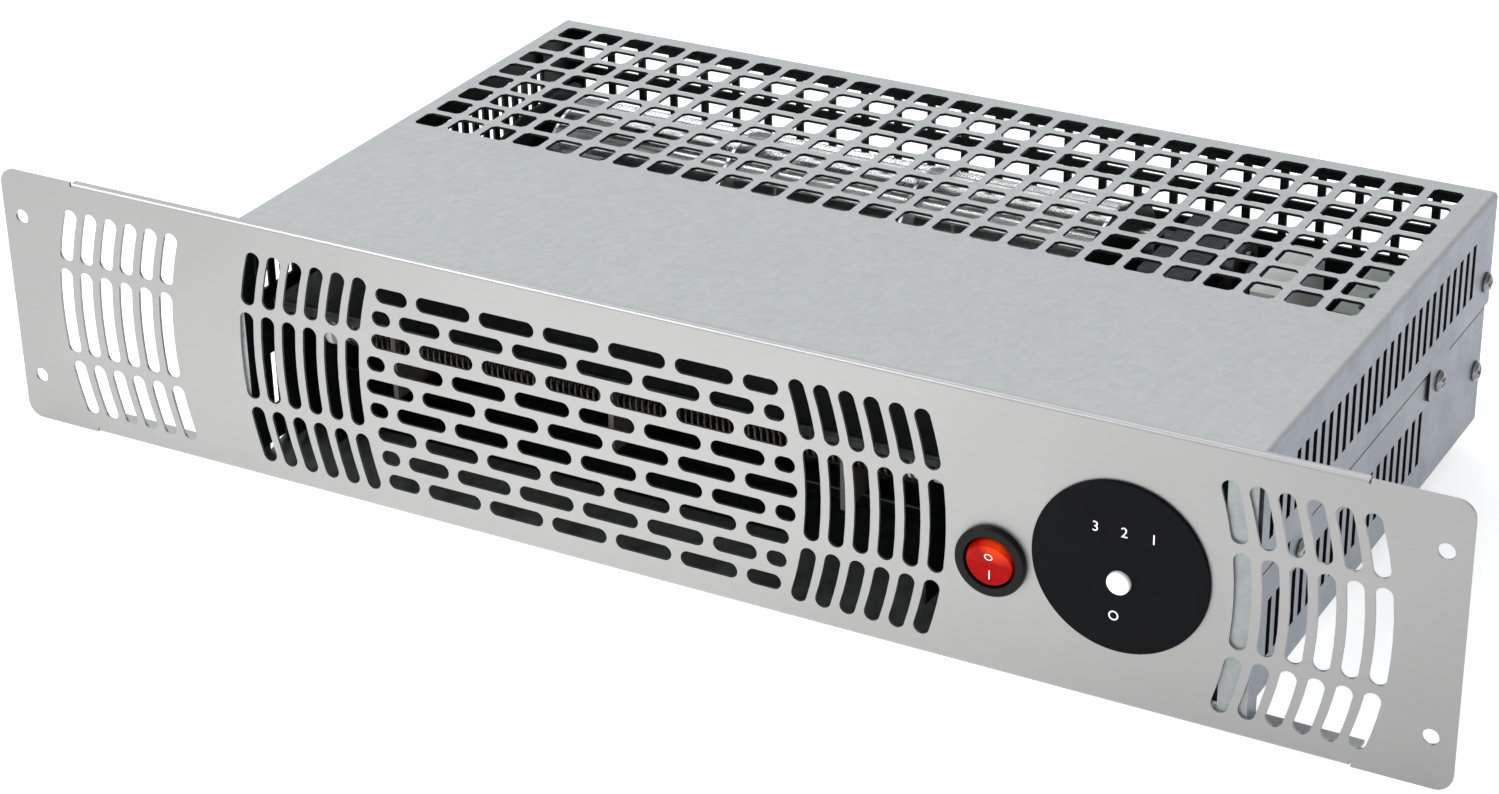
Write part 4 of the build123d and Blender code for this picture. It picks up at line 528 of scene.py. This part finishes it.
def screw_points(x, y, z, outward, turned):
    """Rings of points over the head, down its side and along a threaded shank."""
    rings = [(SCREW_HEAD_R * (row + 1) / (HEAD_RINGS + 1), None) for row in range(HEAD_RINGS)]
    rings += [(SCREW_HEAD_R, SCREW_HEAD * (1 - HEAD_DOME)), (SCREW_HEAD_R, 0.0), (SCREW_R, 0.0)]
    half_turns = int(2 * SCREW_LENGTH / THREAD_PITCH)
    for row in range(half_turns - 1):
        rings.append((SCREW_R * (THREAD_ROOT if row % 2 else 1.0), -(row + 1) * THREAD_PITCH / 2))
    rings.append((SHANK_TIP_R, -SCREW_LENGTH))
    points, sunk = [], []
    for radius, height in rings:
        for segment in range(SCREW_SEGMENTS):
            angle = 2 * math.pi * segment / SCREW_SEGMENTS
            level, depth = height, 0.0
            if height is None:
                depth = recess_depth(radius, angle)
                level = SCREW_HEAD * (1 - HEAD_DOME * (radius / SCREW_HEAD_R) ** 4) - depth
            points.append((x + outward * level, y + radius * math.cos(angle + turned),
                           z + radius * math.sin(angle + turned)))
            sunk.append(depth > RECESS_DEPTH / 4)
    return points, sunk, len(rings)


def casing_screws(name, places, *replaced):
    """Pan-head screws in the casing's sides, each turned its own way, with painted shade in the deep part of
    each cross recess.
    """
    points, faces, sunk = [], [], []
    for count, (x, y, z) in enumerate(places):
        outward = -1 if x < 0 else 1
        first = len(points)
        made, hollows, rows = screw_points(x, y, z, outward, FIRST_TURN + NEXT_TURN * count)
        points += made
        sunk += hollows
        quads = grid_faces(rows, SCREW_SEGMENTS, first)
        last = first + (rows - 1) * SCREW_SEGMENTS
        quads.append(tuple(first + segment for segment in reversed(range(SCREW_SEGMENTS))))
        quads.append(tuple(last + segment for segment in range(SCREW_SEGMENTS)))
        faces += quads if outward < 0 else [tuple(reversed(quad)) for quad in quads]
    made = piece(name, points, faces, "bright_screw")
    # The deepest faces of each recess take the painted shade.
    made.data.materials.append(RECESS_SHADE)
    for polygon in made.data.polygons:
        if all(sunk[corner] for corner in polygon.vertices):
            polygon.material_index = 1
    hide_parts(*replaced)


# ---- printed marks --------------------------------------------------------
DISC_X = 165.0 * MM         # the disc's middle is at height 0
DISC_FACE = -2.2 * MM
PRINT = 0.02 * MM           # thickness of the ink
RING_SEGMENTS = 64
BAR_END_STEPS = 10          # round each end of the bar
PIVOT = Vector((121.0 * MM, 0.6 * MM, -9.0 * MM))
PADDLE_CREASE = -3.6 * MM   # the crease in front of the pivot, with the paddle level
PADDLE_TILT = math.radians(8.0)
OFF_MARK = (2.9 * MM, 1.45 * MM, 1.08 * MM, 0.95)   # above the crease; outer, inner radius; stretch
ON_MARK = (4.0 * MM, 0.42 * MM, 3.3 * MM)           # below the crease; width; height
NUMBERS = (("3", -8.5 * MM), ("2", 1.2 * MM), ("1", 11.0 * MM))     # and each one's place from the middle
NUMBER_SIZE = 5.0 * MM
NUMBERS_Z = 12.8 * MM
STEP_MARK = (-1.5 * MM, -17.2 * MM, 1.7 * MM, 1.2 * MM)     # aside and up; outer and inner radius


def ring_mark(name, middle, turn, outer, inner, stretch, body):
    """A flat printed ring; turn takes it from the ground to the surface that carries it."""
    points = []
    for radius, height in ((inner, 0), (inner, PRINT), (outer, PRINT), (outer, 0)):
        for segment in range(RING_SEGMENTS):
            angle = 2 * math.pi * segment / RING_SEGMENTS
            flat = Vector((radius * math.cos(angle), radius * stretch * math.sin(angle), height))
            points.append(middle + turn @ flat)
    piece(name, points, grid_faces(4, RING_SEGMENTS), "button_white", body, smooth=False)


def bar_mark(name, middle, turn, width, height, body):
    """A flat printed bar with rounded ends."""
    outline = []
    half, straight = width / 2, height / 2 - width / 2
    for end in (1, -1):
        for step in range(BAR_END_STEPS + 1):
            angle = math.pi * step / BAR_END_STEPS
            outline.append((end * half * math.cos(angle), end * (straight + half * math.sin(angle))))
    count = len(outline)
    points = [middle + turn @ Vector((u, v, level)) for level in (0, PRINT) for u, v in outline]
    faces = grid_faces(2, count) + [tuple(range(count, 2 * count))]
    piece(name, points, faces, "button_white", body, smooth=False)


def rocker_marks():
    """White ring on the raised half of the paddle and white bar on the pressed half."""
    tilt = Matrix.Rotation(PADDLE_TILT, 3, "X")
    crease = PIVOT + tilt @ Vector((0, PADDLE_CREASE, 0))
    upper = Matrix.Rotation(math.radians(90) + 2 * PADDLE_TILT, 3, "X")
    lower = Matrix.Rotation(math.radians(90), 3, "X")
    above, outer, inner, stretch = OFF_MARK
    ring_mark("mark_off", crease + upper @ Vector((0, above, 0)), upper, outer, inner, stretch, "rocker")
    below, width, height = ON_MARK
    bar_mark("mark_on", crease + lower @ Vector((0, -below, 0)), lower, width, height, "rocker")


def disc_marks():
    """Plain numbers above the button and a ring below it."""
    flat = Euler((math.radians(90), 0, 0))
    for text, dx in NUMBERS:
        curve = bpy.data.curves.new("number_" + text, "FONT")
        curve.body = text
        curve.size = NUMBER_SIZE
        curve.align_x = "CENTER"
        curve.align_y = "CENTER"
        curve.extrude = PRINT
        curve.materials.append(FINISHES["button_white"])
        number = bpy.data.objects.new("number_" + text, curve)
        number.location = (DISC_X + dx, DISC_FACE - PRINT / 2, NUMBERS_Z)
        number.rotation_euler = flat
        bpy.context.scene.collection.objects.link(number)
        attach(number, "root")
    aside, up, outer, inner = STEP_MARK
    middle = Vector((DISC_X + aside, DISC_FACE, up))
    ring_mark("mark_step", middle, flat.to_matrix(), outer, inner, 1.0, "root")


# ---- studio ---------------------------------------------------------------
FLOOR_Z = -50.05 * MM
FLOOR_HALF = 12.0
POOL_MIDDLE = (-0.04, -0.11, FLOOR_Z)   # middle of a painted pool of light: the floor is lightest in front of the grille
POOL_GLOW, FLOOR_GLOW = 1.35, 0.43
POOL_RADII = (0.06, 0.34)               # the pool fades between these


def floor_glow(t):
    """Light that the paper gives off: an even share everywhere, more in a painted pool of light in front of
    the grille.
    """
    away = vector_maths(t, "DISTANCE", place(t), POOL_MIDDLE)["Value"]
    return spread(t, away, POOL_GLOW, FLOOR_GLOW, *POOL_RADII)


def add_floor():
    """A wide pale floor just under the fascia, giving off light, with a painted pool of light in front of the
    grille.
    """
    mesh = bpy.data.meshes.new("studio_floor")
    corners = [(x * FLOOR_HALF, y * FLOOR_HALF, FLOOR_Z) for x, y in ((-1, -1), (1, -1), (1, 1), (-1, 1))]
    mesh.from_pydata(corners, [], [(0, 1, 2, 3)])
    mesh.materials.append(finish("studio_paper", {
        "Base Color": lambda t: tint(t, noise(t, 1.5), (0.93, 0.93, 0.93), (0.95, 0.95, 0.95)),
        "Emission Strength": floor_glow,
    }, Roughness=0.9, Emission_Color=(1.0, 1.0, 1.0, 1.0)))
    floor = bpy.data.objects.new("studio_floor", mesh)
    bpy.context.scene.collection.objects.link(floor)


def area_light(name, location, target, width, height, watts):
    data = bpy.data.lights.new(name, "AREA")
    data.shape = "RECTANGLE"
    data.size, data.size_y = width, height
    data.energy = watts
    light = bpy.data.objects.new(name, data)
    light.location = location
    light.rotation_euler = (Vector(target) - Vector(location)).to_track_quat("-Z", "Y").to_euler()
    bpy.context.scene.collection.objects.link(light)


def add_light():
    """Pale surroundings that darken to the right, a near light at the front left and one above."""
    world = bpy.data.worlds.new("studio")
    world.use_nodes = True
    tree = world.node_tree
    across = node(tree, "SeparateXYZ", {"Vector": node(tree, "TexCoord").outputs["Generated"]}).outputs["X"]
    background = tree.nodes["Background"]
    background.inputs["Color"].default_value = (0.98, 0.99, 1.0, 1.0)
    tree.links.new(spread(tree, across, 1.15, 0.55, -0.8, 0.8), background.inputs["Strength"])
    bpy.context.scene.world = world
    area_light("key", (-0.55, -0.60, 0.5), (-0.2, -0.1, -0.05), 0.5, 0.4, 4.5)
    area_light("top", (-0.3, 0.6, 1.3), (0.0, 0.1, 0.0), 1.2, 0.8, 4.0)
    bpy.context.scene.view_settings.view_transform = "Standard"


add_camera()
dress_nodes()
heating_coils()
casing_screws("cover_screw_heads", COVER_SCREWS, "cover_screws")
casing_screws("rear_screw_heads", REAR_SCREWS, "rear_panel_screws")
rocker_marks()
disc_marks()
add_floor()
add_light()

bpy.context.view_layer.update()
